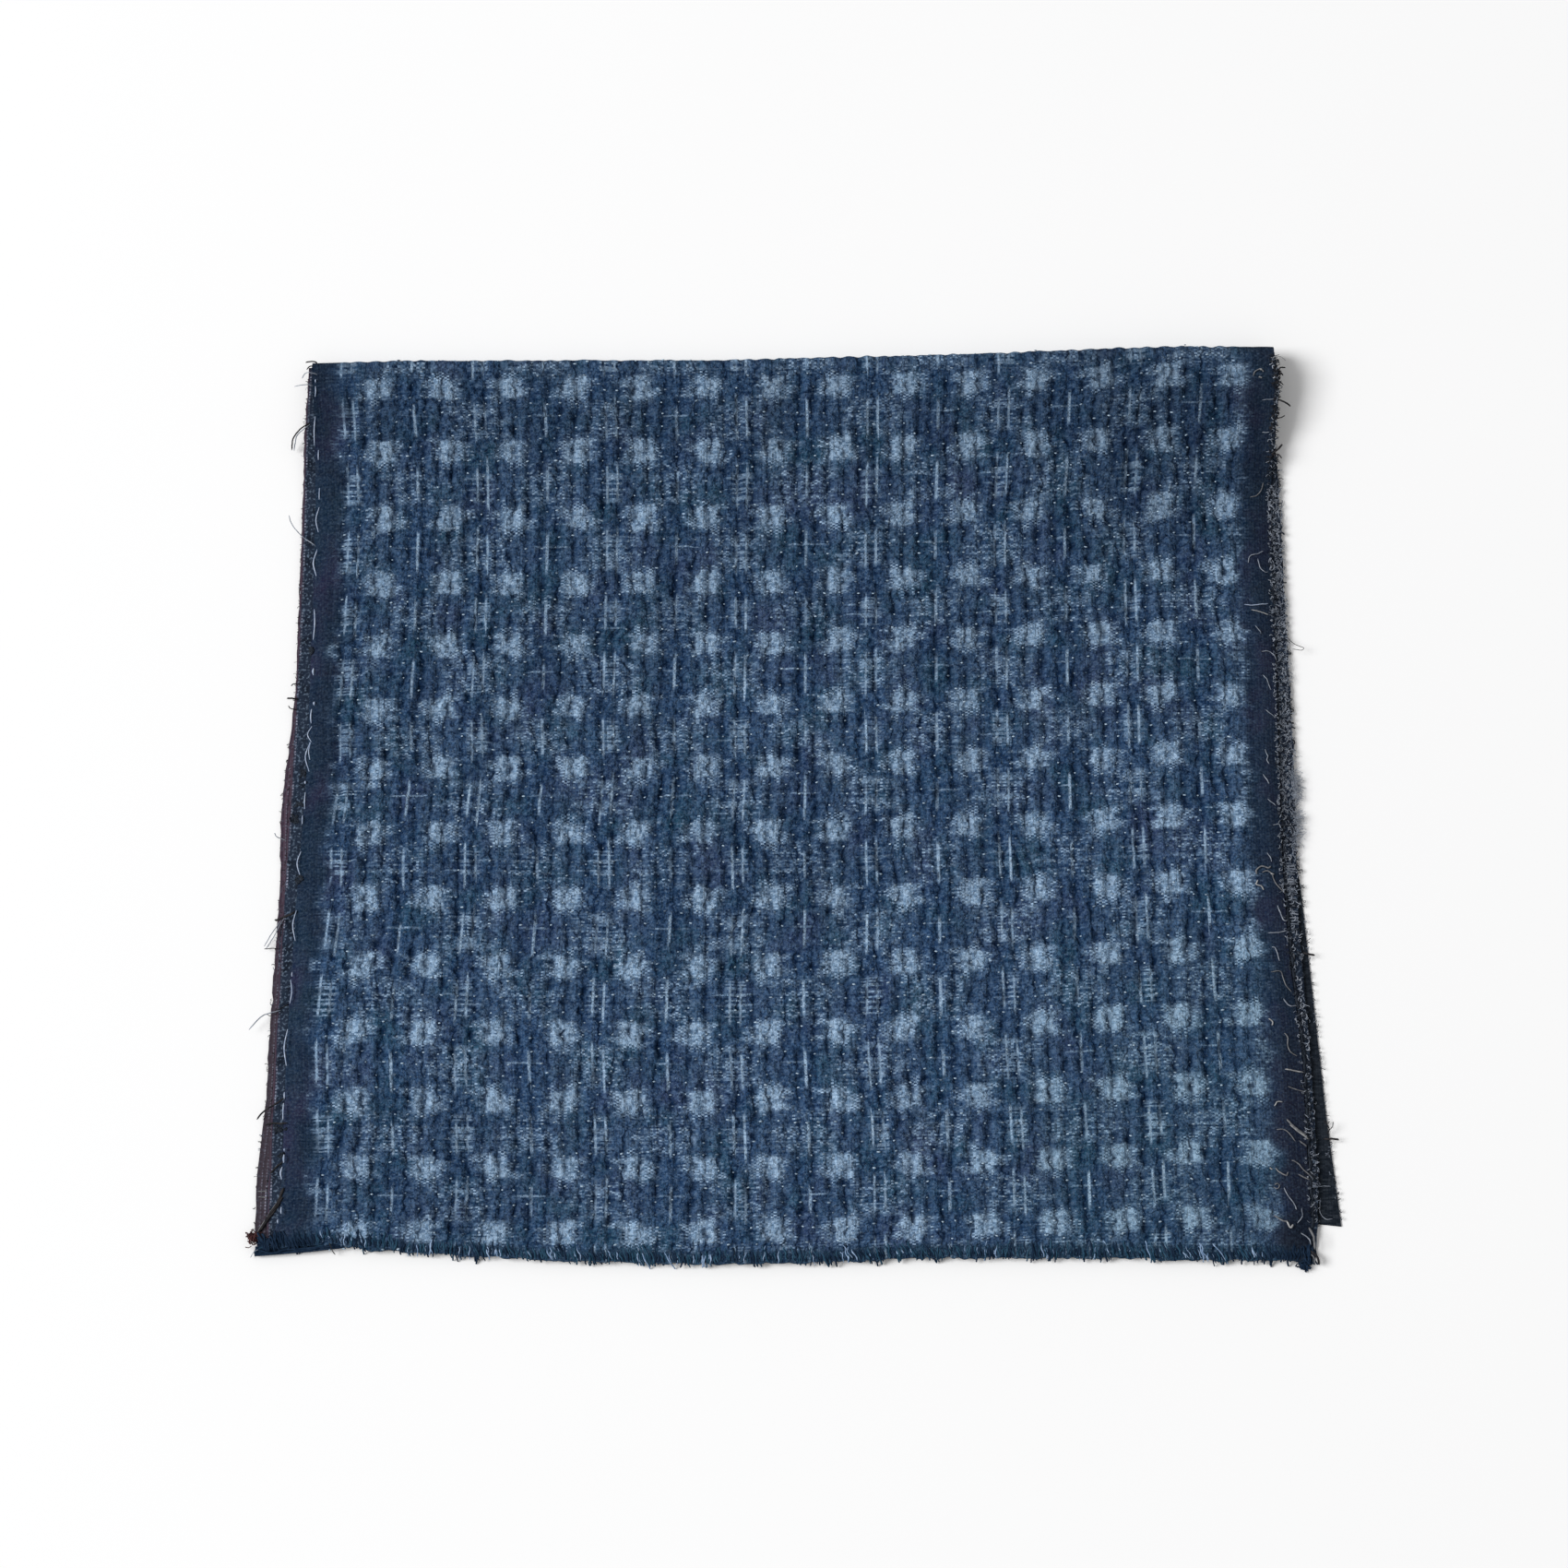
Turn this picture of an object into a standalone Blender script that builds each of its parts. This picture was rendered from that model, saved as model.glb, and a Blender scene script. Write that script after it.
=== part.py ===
"""Folded kasuri cloth, in metres.

A quilted indigo face and a thinner backing are sewn together as two plies, folded once,
and laid down with the fold at the far side (+Y). The upper half shows its quilted ridges.
The lower half lies flat, and its edges stand out past the upper half at both sides. It ends
short of the upper half, whose raw edge sinks to the ground there.
"""
import math
from collections import namedtuple

import bmesh
import bpy
import numpy as np

COLLECTION_NAME = "folded kasuri cloth"

# The plies and the air between them
FACE_THICKNESS = 0.0012
BACKING_THICKNESS = 0.0010
PLY_GAP = 0.0004
HALVES_GAP = 0.0005

# Quilting: ridges run from the fold to the raw edge, one every pitch
RIDGE_PITCH = 0.0050
RIDGE_HEIGHT = 0.00045
RIDGE_SWAY = 0.0009
RIDGE_SWAY_LENGTH = 0.060
QUILTED_LEFT = -0.162
QUILTED_RIGHT = 0.155
RAW_HEM = 0.006

# How finely the cloth is divided along the fold, round it and away from it
FACE_COLUMNS = 136
BACKING_COLUMNS = 24
LOOP_STEPS = 7
UPPER_ROWS = 14
UPPER_CROWDING = 1.4
LOWER_ROWS = 5
LOOP_ROUNDNESS = 1.05

# Past the lower half's cut the upper half sinks to the ground, divided at these distances
# from its own cut
SAG_DEPTH = 0.0026
SAG_SLOPE = 0.25
SAG_ROWS = (0.0160, 0.0125, 0.0090, 0.0055, 0.0025)
UPPER_LENGTH = 0.316

# The fold's line across the cloth. It stands highest at the right end, where the loop gapes.
FoldRow = namedtuple("FoldRow", "across back height reach")
FOLD = (
    FoldRow(across=-0.1740, back=0.1633, height=0.0070, reach=0.026),
    FoldRow(across=-0.1400, back=0.1643, height=0.0070, reach=0.026),
    FoldRow(across=-0.0300, back=0.1645, height=0.0070, reach=0.026),
    FoldRow(across=0.0600, back=0.1665, height=0.0084, reach=0.034),
    FoldRow(across=0.1300, back=0.1688, height=0.0108, reach=0.040),
    FoldRow(across=0.1720, back=0.1684, height=0.0124, reach=0.042),
)

# Side edges of each ply. run is the distance from the fold, and left and right are across.
EdgeRow = namedtuple("EdgeRow", "run left right")
FACE_UPPER_EDGES = (
    EdgeRow(run=0.000, left=-0.1730, right=0.1700),
    EdgeRow(run=0.022, left=-0.1713, right=0.1697),
    EdgeRow(run=0.052, left=-0.1703, right=0.1670),
    EdgeRow(run=0.146, left=-0.1701, right=0.1668),
    EdgeRow(run=0.187, left=-0.1720, right=0.1668),
    EdgeRow(run=0.217, left=-0.1732, right=0.1682),
    EdgeRow(run=0.248, left=-0.1739, right=0.1712),
    EdgeRow(run=0.298, left=-0.1739, right=0.1721),
    EdgeRow(run=0.309, left=-0.1762, right=0.1724),
    EdgeRow(run=0.318, left=-0.1804, right=0.1724),
)
FACE_LOWER_EDGES = (
    EdgeRow(run=0.000, left=-0.1730, right=0.1700),
    EdgeRow(run=0.023, left=-0.1732, right=0.1690),
    EdgeRow(run=0.146, left=-0.1745, right=0.1680),
    EdgeRow(run=0.187, left=-0.1765, right=0.1732),
    EdgeRow(run=0.217, left=-0.1775, right=0.1752),
    EdgeRow(run=0.262, left=-0.1790, right=0.1783),
    EdgeRow(run=0.288, left=-0.1812, right=0.1802),
    EdgeRow(run=0.310, left=-0.1816, right=0.1831),
)
BACKING_UPPER_EDGES = (
    EdgeRow(run=0.000, left=-0.1743, right=0.1690),
    EdgeRow(run=0.023, left=-0.1751, right=0.1690),
    EdgeRow(run=0.043, left=-0.1751, right=0.1705),
    EdgeRow(run=0.092, left=-0.1750, right=0.1713),
    EdgeRow(run=0.140, left=-0.1757, right=0.1723),
    EdgeRow(run=0.205, left=-0.1774, right=0.1719),
    EdgeRow(run=0.240, left=-0.1780, right=0.1738),
    EdgeRow(run=0.290, left=-0.1786, right=0.1754),
    EdgeRow(run=0.316, left=-0.1786, right=0.1740),
)
BACKING_LOWER_EDGES = (
    EdgeRow(run=0.000, left=-0.1743, right=0.1690),
    EdgeRow(run=0.023, left=-0.1751, right=0.1620),
    EdgeRow(run=0.120, left=-0.1756, right=0.1600),
    EdgeRow(run=0.159, left=-0.1778, right=0.1600),
    EdgeRow(run=0.191, left=-0.1780, right=0.1600),
    EdgeRow(run=0.230, left=-0.1800, right=0.1600),
    EdgeRow(run=0.262, left=-0.1805, right=0.1600),
    EdgeRow(run=0.288, left=-0.1826, right=0.1600),
    EdgeRow(run=0.314, left=-0.1828, right=0.1600),
)

# The raw near edges. near is the place of the cut (y) at each place across.
CutRow = namedtuple("CutRow", "across near")
FACE_UPPER_CUT = (
    CutRow(across=-0.180, near=-0.1546),
    CutRow(across=-0.160, near=-0.1522),
    CutRow(across=-0.137, near=-0.1545),
    CutRow(across=-0.113, near=-0.1560),
    CutRow(across=-0.082, near=-0.1580),
    CutRow(across=-0.026, near=-0.1588),
    CutRow(across=0.010, near=-0.1576),
    CutRow(across=0.041, near=-0.1562),
    CutRow(across=0.103, near=-0.1562),
    CutRow(across=0.140, near=-0.1576),
    CutRow(across=0.172, near=-0.1590),
)
BACKING_UPPER_CUT = (
    CutRow(across=-0.178, near=-0.1500),
    CutRow(across=-0.082, near=-0.1555),
    CutRow(across=0.041, near=-0.1540),
    CutRow(across=0.175, near=-0.1560),
)
FACE_LOWER_CUT = (
    CutRow(across=-0.181, near=-0.1500),
    CutRow(across=-0.164, near=-0.1420),
    CutRow(across=0.160, near=-0.1430),
    CutRow(across=0.183, near=-0.1454),
)
BACKING_LOWER_CUT = (
    CutRow(across=-0.182, near=-0.1505),
    CutRow(across=-0.164, near=-0.1425),
    CutRow(across=0.160, near=-0.1435),
)

# Ply: where its two faces lie, measured outwards from the middle of the ply gap
Ply = namedtuple("Ply", "name columns inner outer upper_edges lower_edges upper_cut lower_cut quilted")
FACE = Ply(
    name="kasuri_face",
    columns=FACE_COLUMNS,
    inner=PLY_GAP / 2,
    outer=PLY_GAP / 2 + FACE_THICKNESS,
    upper_edges=FACE_UPPER_EDGES,
    lower_edges=FACE_LOWER_EDGES,
    upper_cut=FACE_UPPER_CUT,
    lower_cut=FACE_LOWER_CUT,
    quilted=True,
)
BACKING = Ply(
    name="backing_cloth",
    columns=BACKING_COLUMNS,
    inner=-PLY_GAP / 2 - BACKING_THICKNESS,
    outer=-PLY_GAP / 2,
    upper_edges=BACKING_UPPER_EDGES,
    lower_edges=BACKING_LOWER_EDGES,
    upper_cut=BACKING_UPPER_CUT,
    lower_cut=BACKING_LOWER_CUT,
    quilted=False,
)

# Heights of the middle of the ply gap, in the lower half and in the upper half
LOWER_LEVEL = FACE_THICKNESS + PLY_GAP / 2
UPPER_LEVEL = LOWER_LEVEL + PLY_GAP + 2 * BACKING_THICKNESS + HALVES_GAP

FLAT_ANGLE = math.radians(0.002)


def remove_everything():
    """Empty the file, so that the cloth is all it holds."""
    for thing in list(bpy.data.objects):
        bpy.data.objects.remove(thing, do_unlink=True)


def read_table(rows, column, key, place):
    """A table's column at one place, straight between its rows."""
    keys = [getattr(row, key) for row in rows]
    values = [getattr(row, column) for row in rows]
    return float(np.interp(place, keys, values))


def ease(share):
    """1 at the start and 0 at the end, level at both."""
    share = min(max(share, 0.0), 1.0)
    return 0.5 * (1.0 + math.cos(math.pi * share))


def fold_shape(across):
    """The loop at one place across: its centre, half depth, half height and reach."""
    skin = FACE.outer
    back = read_table(FOLD, "back", "across", across)
    top = read_table(FOLD, "height", "across", across) - skin
    reach = read_table(FOLD, "reach", "across", across)
    half_height = (top - LOWER_LEVEL) / 2
    half_depth = half_height * LOOP_ROUNDNESS
    return back - skin - half_depth, half_depth, half_height, reach


def lower_point(across, near, share, offset):
    """A point of the lower half, from its cut at share 0 to the loop at share 1."""
    centre = fold_shape(across)[0]
    return near + (centre - near) * share, LOWER_LEVEL - offset


def loop_point(across, angle, offset):
    """A point of the loop, from underneath at -90 degrees to the top at 90."""
    centre, half_depth, half_height, _ = fold_shape(across)
    normal = (math.cos(angle) / half_depth, math.sin(angle) / half_height)
    length = math.hypot(*normal)
    y = centre + half_depth * math.cos(angle) + offset * normal[0] / length
    z = LOWER_LEVEL + half_height * (1.0 + math.sin(angle)) + offset * normal[1] / length
    return y, z


def sag(across, y):
    """How far the upper half has sunk, between the lower half's cut and its own."""
    start = min(read_table(FACE_LOWER_CUT, "near", "across", across),
                read_table(BACKING_LOWER_CUT, "near", "across", across))
    end = read_table(FACE_UPPER_CUT, "near", "across", across)
    depth = min(SAG_DEPTH, SAG_SLOPE * (start - end))
    return depth * (1.0 - ease((start - y) / (start - end)))


def upper_point(across, near, share, offset):
    """A point of the upper half, from the loop at share 0 to its cut at share 1."""
    centre, _, half_height, reach = fold_shape(across)
    top = LOWER_LEVEL + 2 * half_height
    run = (centre - near) * share
    drop = run / reach
    height = UPPER_LEVEL + (top - UPPER_LEVEL) * ease(drop)
    slope = 0.0
    if drop < 1.0:
        slope = (top - UPPER_LEVEL) * 0.5 * math.pi / reach * math.sin(math.pi * drop)
    length = math.hypot(1.0, slope)
    y = centre - run - offset * slope / length
    return y, height + offset / length - sag(across, y)


def stations():
    """The rows of the cloth from the lower cut, round the loop, to the upper cut."""
    rows = [("lower", step / LOWER_ROWS) for step in range(LOWER_ROWS)]
    rows += [("loop", math.pi * (step / LOOP_STEPS - 0.5)) for step in range(LOOP_STEPS + 1)]
    shares = [(step / UPPER_ROWS) ** UPPER_CROWDING for step in range(1, UPPER_ROWS + 1)]
    shares += [1.0 - place / UPPER_LENGTH for place in SAG_ROWS]
    return rows + [("upper", share) for share in sorted(shares)]


def ridge(column, across, y, edges):
    """Height of the quilting: a crest on every other column, and a groove between."""
    inside = min(across - QUILTED_LEFT, QUILTED_RIGHT - across)
    if inside < 0.0:
        return 0.0
    crest = 1.0 if column % 2 == 0 else -1.0
    waxing = 0.72 + 0.28 * math.sin(across * 31.0 + 5.0 * math.sin(y * 44.0))
    fade = min(1.0, inside / RIDGE_PITCH) * edges
    return RIDGE_HEIGHT * crest * waxing * fade


def sway(across, y):
    """How far a ridge wanders sideways on its way from the fold to the raw edge."""
    inside = min(across - QUILTED_LEFT, QUILTED_RIGHT - across)
    calm = min(max(inside / (4 * RIDGE_PITCH), 0.0), 1.0)
    turn = 2 * math.pi * y / RIDGE_SWAY_LENGTH
    return RIDGE_SWAY * calm * math.sin(turn + 55.0 * across)


def place_point(ply, column, station, outside):
    """Where one corner of the flat slab goes once the ply is quilted, cut and folded."""
    kind, measure = station
    share = column / ply.columns
    if kind == "lower":
        edges, cut = ply.lower_edges, ply.lower_cut
    else:
        edges, cut = ply.upper_edges, ply.upper_cut
    offset = ply.outer if outside else ply.inner
    across = edges[0].left + (edges[0].right - edges[0].left) * share
    for _ in range(2):
        near = read_table(cut, "near", "across", across)
        if kind == "lower":
            y, z = lower_point(across, near, measure, offset)
        elif kind == "loop":
            y, z = loop_point(across, measure, offset)
        else:
            y, z = upper_point(across, near, measure, offset)
        run = 0.0
        if kind != "loop":
            run = max(fold_shape(across)[0] - y, 0.0)
        left = read_table(edges, "left", "run", run)
        right = read_table(edges, "right", "run", run)
        across = left + (right - left) * share
    if ply.quilted and outside and kind != "lower":
        hem = 1.0
        if kind == "upper":
            hem = min(1.0, (y - near) / RAW_HEM)
        else:
            hem = 0.5 + 0.5 * math.sin(measure)
        raised = ridge(column, across, y, hem)
        if kind == "upper":
            z += raised
        else:
            y, z = loop_point(across, measure, offset + raised)
        across += sway(across, y) * hem
    return across, y, z


def flat_slab(columns, rows):
    """A closed slab of unit thickness, whose grid corners are numbered by their place."""
    mesh = bmesh.new()
    bmesh.ops.create_grid(mesh, x_segments=columns, y_segments=rows, size=1.0)
    grown = bmesh.ops.extrude_face_region(mesh, geom=mesh.faces[:])["geom"]
    top = [item for item in grown if isinstance(item, bmesh.types.BMVert)]
    bmesh.ops.translate(mesh, vec=(0.0, 0.0, 1.0), verts=top)
    return mesh


def make_ply(ply, material, collection):
    """One ply: a flat slab that is cut to its outline, quilted and folded."""
    rows = stations()
    mesh = flat_slab(ply.columns, len(rows) - 1)
    for corner in mesh.verts:
        column = round((corner.co.x + 1.0) / 2.0 * ply.columns)
        row = round((corner.co.y + 1.0) / 2.0 * (len(rows) - 1))
        outside = corner.co.z > 0.5
        corner.co = place_point(ply, column, rows[row], outside)
    bmesh.ops.dissolve_limit(mesh, angle_limit=FLAT_ANGLE, verts=mesh.verts[:], edges=mesh.edges[:])
    bmesh.ops.triangulate(mesh, faces=mesh.faces[:])
    bmesh.ops.recalc_face_normals(mesh, faces=mesh.faces[:])
    data = bpy.data.meshes.new(ply.name)
    mesh.to_mesh(data)
    mesh.free()
    data.materials.append(material)
    thing = bpy.data.objects.new(ply.name, data)
    collection.objects.link(thing)
    return thing


def cotton(name, colour, roughness):
    """A matt cotton finish of one plain colour."""
    material = bpy.data.materials.new(name)
    material.use_nodes = True
    shader = material.node_tree.nodes["Principled BSDF"]
    shader.inputs["Base Color"].default_value = (*colour, 1.0)
    shader.inputs["Roughness"].default_value = roughness
    shader.inputs["Metallic"].default_value = 0.0
    material.diffuse_color = (*colour, 1.0)
    return material


def centre_on_origin(things):
    """Bring the middle of the whole cloth over the origin, and its underside to zero."""
    corners = np.array([corner.co for thing in things for corner in thing.data.vertices])
    low = corners.min(axis=0)
    high = corners.max(axis=0)
    shift = (-(low[0] + high[0]) / 2, -(low[1] + high[1]) / 2, -low[2])
    for thing in things:
        for corner in thing.data.vertices:
            corner.co.x += shift[0]
            corner.co.y += shift[1]
            corner.co.z += shift[2]


def main():
    remove_everything()
    collection = bpy.data.collections.new(COLLECTION_NAME)
    bpy.context.scene.collection.children.link(collection)
    indigo = cotton("kasuri cotton", (0.050, 0.083, 0.140), 0.88)
    dark = cotton("backing cotton", (0.024, 0.026, 0.036), 0.92)
    face = make_ply(FACE, indigo, collection)
    backing = make_ply(BACKING, dark, collection)
    centre_on_origin([face, backing])


main()
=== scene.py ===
# Folded kasuri cloth: woven and quilted surfaces, sewing, frayed edges, light and camera
import math
from collections import namedtuple
from functools import partial

import bmesh
import bpy
import numpy as np
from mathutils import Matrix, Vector


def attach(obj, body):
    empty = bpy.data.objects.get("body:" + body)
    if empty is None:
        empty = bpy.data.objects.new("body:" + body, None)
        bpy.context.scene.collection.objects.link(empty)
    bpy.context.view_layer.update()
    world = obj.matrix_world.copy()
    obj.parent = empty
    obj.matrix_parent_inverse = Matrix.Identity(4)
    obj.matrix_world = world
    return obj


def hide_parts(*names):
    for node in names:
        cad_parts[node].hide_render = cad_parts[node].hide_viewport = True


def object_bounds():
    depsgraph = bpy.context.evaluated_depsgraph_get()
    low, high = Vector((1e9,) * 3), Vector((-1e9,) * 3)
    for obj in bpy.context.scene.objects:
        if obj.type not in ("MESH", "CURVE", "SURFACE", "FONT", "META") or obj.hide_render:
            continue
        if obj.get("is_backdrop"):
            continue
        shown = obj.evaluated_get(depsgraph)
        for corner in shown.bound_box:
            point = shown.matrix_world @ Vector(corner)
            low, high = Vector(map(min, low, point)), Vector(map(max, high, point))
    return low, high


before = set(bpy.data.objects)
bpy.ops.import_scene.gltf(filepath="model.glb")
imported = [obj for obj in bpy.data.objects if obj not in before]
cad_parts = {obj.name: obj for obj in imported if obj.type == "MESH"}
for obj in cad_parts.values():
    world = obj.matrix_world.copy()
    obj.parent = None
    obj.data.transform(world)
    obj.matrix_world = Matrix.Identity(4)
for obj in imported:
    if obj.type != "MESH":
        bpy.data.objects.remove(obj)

cad_low, cad_high = (np.array(corner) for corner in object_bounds())

# The plies, as the solids have them
FACE_THICKNESS = 0.0012
BACKING_THICKNESS = 0.0010
PLY_GAP = 0.0004
HALVES_GAP = 0.0005
LOOP_ROUNDNESS = 1.05
FACE_INNER = PLY_GAP / 2
FACE_OUTER = PLY_GAP / 2 + FACE_THICKNESS
BACKING_OUTER = -PLY_GAP / 2
BACKING_INNER = -PLY_GAP / 2 - BACKING_THICKNESS
LOWER_LEVEL = FACE_THICKNESS + PLY_GAP / 2
UPPER_LEVEL = LOWER_LEVEL + PLY_GAP + 2 * BACKING_THICKNESS + HALVES_GAP

# How far the upper half sinks past the lower half's raw edge, and how steeply at the most
SAG_DEPTH = 0.0026
SAG_SLOPE = 0.25

# Where the fold mostly lies at the far side, from the middle of the cloth
FOLD_LINE = 0.1640


def table(kind, *rows):
    """Rows of one kind, whose columns then have names."""
    return [kind(*row) for row in rows]


FoldRow = namedtuple("FoldRow", "across back height reach")
FOLD = table(
    FoldRow,
    (-0.1740, 0.1633, 0.0070, 0.026), (-0.1400, 0.1643, 0.0070, 0.026), (-0.0300, 0.1645, 0.0070, 0.026),
    (0.0600, 0.1665, 0.0084, 0.034), (0.1300, 0.1688, 0.0108, 0.040), (0.1720, 0.1684, 0.0124, 0.042),
)

EdgeRow = namedtuple("EdgeRow", "run left right")
FACE_UPPER_EDGES = table(
    EdgeRow,
    (0.000, -0.1730, 0.1694), (0.007, -0.1724, 0.1707), (0.022, -0.1713, 0.1697), (0.052, -0.1703, 0.1670),
    (0.146, -0.1701, 0.1668), (0.187, -0.1720, 0.1668), (0.217, -0.1732, 0.1682), (0.248, -0.1739, 0.1712),
    (0.298, -0.1739, 0.1721), (0.309, -0.1762, 0.1724), (0.318, -0.1804, 0.1724),
)
FACE_LOWER_EDGES = table(
    EdgeRow,
    (0.000, -0.1730, 0.1694), (0.023, -0.1732, 0.1690), (0.146, -0.1745, 0.1680), (0.187, -0.1765, 0.1732),
    (0.217, -0.1775, 0.1752), (0.262, -0.1790, 0.1783), (0.288, -0.1812, 0.1802), (0.310, -0.1816, 0.1831),
)
BACKING_UPPER_EDGES = table(
    EdgeRow,
    (0.000, -0.1743, 0.1680), (0.023, -0.1751, 0.1690), (0.043, -0.1751, 0.1705), (0.092, -0.1750, 0.1713),
    (0.140, -0.1757, 0.1723), (0.205, -0.1774, 0.1719), (0.240, -0.1780, 0.1738), (0.290, -0.1786, 0.1754),
    (0.316, -0.1786, 0.1740),
)
BACKING_LOWER_EDGES = table(
    EdgeRow,
    (0.000, -0.1743, 0.1680), (0.023, -0.1751, 0.1620), (0.120, -0.1756, 0.1600), (0.159, -0.1789, 0.1600),
    (0.191, -0.1785, 0.1600), (0.230, -0.1800, 0.1600), (0.262, -0.1805, 0.1600), (0.288, -0.1826, 0.1600),
    (0.314, -0.1828, 0.1600),
)

CutRow = namedtuple("CutRow", "across near")
FACE_UPPER_CUT = table(
    CutRow,
    (-0.180, -0.1539), (-0.160, -0.1515), (-0.137, -0.1540), (-0.113, -0.1553), (-0.082, -0.1572),
    (-0.026, -0.1584), (0.010, -0.1576), (0.041, -0.1562), (0.103, -0.1562), (0.140, -0.1573),
    (0.158, -0.1568), (0.172, -0.1577),
)
BACKING_UPPER_CUT = table(
    CutRow,
    (-0.178, -0.1500), (-0.082, -0.1555), (0.041, -0.1540), (0.175, -0.1560),
)
FACE_LOWER_CUT = table(
    CutRow,
    (-0.181, -0.1500), (-0.164, -0.1420), (0.160, -0.1430), (0.183, -0.1454),
)
BACKING_LOWER_CUT = table(
    CutRow,
    (-0.182, -0.1505), (-0.164, -0.1425), (0.160, -0.1435),
)

# The frame stands the cloth over its own middle, so every place is moved by this much
SHIFT = np.array([cad_low[0] + 0.1828, cad_low[1] + 0.1590, 0.0])

# Yarns, and the repeat of light blobs. The cloth is pulled about, so each row of blobs has the
# distance from the fold at its left end, middle and right end, and where its first and last
# blobs stand.
WARP_PITCH = 0.00098
WEFT_PITCH = 0.00056
COLUMN_PITCH = 0.0232
ROW_PITCH = 0.0234
BLOB_COLUMNS = 14
BlobRow = namedtuple("BlobRow", "left middle right first last")
BLOB_ROWS = table(
    BlobRow,
    (-0.0122, -0.0120, -0.0100, -0.1500, 0.1550), (0.0112, 0.0113, 0.0133, -0.1492, 0.1548),
    (0.0344, 0.0346, 0.0349, -0.1468, 0.1531), (0.0602, 0.0598, 0.0609, -0.1454, 0.1506),
    (0.0845, 0.0839, 0.0852, -0.1455, 0.1502), (0.1066, 0.1059, 0.1072, -0.1457, 0.1505),
    (0.1299, 0.1288, 0.1295, -0.1465, 0.1505), (0.1510, 0.1506, 0.1518, -0.1456, 0.1503),
    (0.1737, 0.1742, 0.1731, -0.1479, 0.1510), (0.1971, 0.1977, 0.1968, -0.1474, 0.1515),
    (0.2206, 0.2216, 0.2204, -0.1495, 0.1524), (0.2433, 0.2448, 0.2431, -0.1507, 0.1536),
    (0.2674, 0.2682, 0.2672, -0.1495, 0.1547), (0.2896, 0.2910, 0.2906, -0.1484, 0.1555),
    (0.3122, 0.3122, 0.3124, -0.1490, 0.1561),
)
PATTERN_PAST_FIRST = 0.0145
PATTERN_PAST_LAST = 0.0055
QUILTED_LEFT = -0.1615
QUILTED_RIGHT = 0.1550

# Quilting: rows of small stitches that pull the cloth into ridges
FIRST_STITCHES = 0.0015
LAST_STITCHES = 0.3180
STITCH_ROW_PITCH = 0.0045
STITCH_PITCH = 0.0053
STITCH_LENGTH = 0.0013
STITCH_WIDTH = 0.00062
STITCH_LIFT = 0.00010
MISSING_STITCHES = 0.06
GROOVE_DEPTH = 0.0011
GROOVE_ACROSS = 0.0012
DIMPLE_ALONG = 0.0016
DIMPLE_REACH = 0.0055
RELIEF_LOW = (-0.190, -0.012)
RELIEF_HIGH = (0.190, 0.330)
RELIEF_STEP = 0.0004

# Pale running stitches down the left edge: where each starts and ends, from the middle of the
# cloth, how far its middle bows to the left, and how thick it is
RunningStitch = namedtuple("RunningStitch", "start end at bow thick")
RUNNING_STITCHES = table(
    RunningStitch,
    (156.1, 155.0, -171.5, 0.0, 0.50), (153.6, 149.7, -171.5, -0.2, 0.40),
    (142.6, 131.8, -171.3, 0.2, 0.40), (130.1, 126.5, -169.8, 0.0, 0.40),
    (116.1, 111.9, -169.1, 0.0, 0.40), (109.0, 99.7, -169.0, 1.0, 0.40),
    (93.3, 83.5, -169.2, 1.2, 0.48), (71.3, 60.1, -169.5, -0.4, 0.48),
    (49.5, 47.2, -169.0, 0.1, 0.70), (37.1, 36.1, -168.3, 0.0, 0.80),
    (34.7, 29.6, -169.2, 0.2, 0.48), (28.4, 22.8, -168.9, 1.4, 0.36),
    (22.8, 12.2, -169.3, 1.5, 0.42), (22.6, 16.4, -169.2, 0.5, 0.36),
    (8.7, 7.9, -170.5, 0.0, 0.70), (4.8, -1.2, -170.4, 0.1, 0.40),
    (-3.5, -6.5, -171.1, 0.0, 0.40), (-16.4, -24.9, -171.2, 1.1, 0.40),
    (-37.2, -47.9, -172.0, 1.0, 0.40), (-58.9, -60.4, -172.7, 0.0, 0.36),
    (-61.6, -69.8, -173.1, -0.6, 0.40), (-78.8, -91.3, -173.5, 0.9, 0.46),
    (-100.4, -102.7, -173.8, 0.0, 0.40), (-104.2, -109.7, -174.0, 0.0, 0.46),
    (-119.7, -120.5, -173.1, 0.0, 0.60), (-121.8, -124.4, -173.2, 0.0, 0.64),
    (-126.0, -130.1, -173.7, 0.4, 0.56), (-139.5, -141.7, -173.5, 0.0, 0.50),
    (-143.7, -144.9, -174.5, 0.0, 0.56),
)

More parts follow.
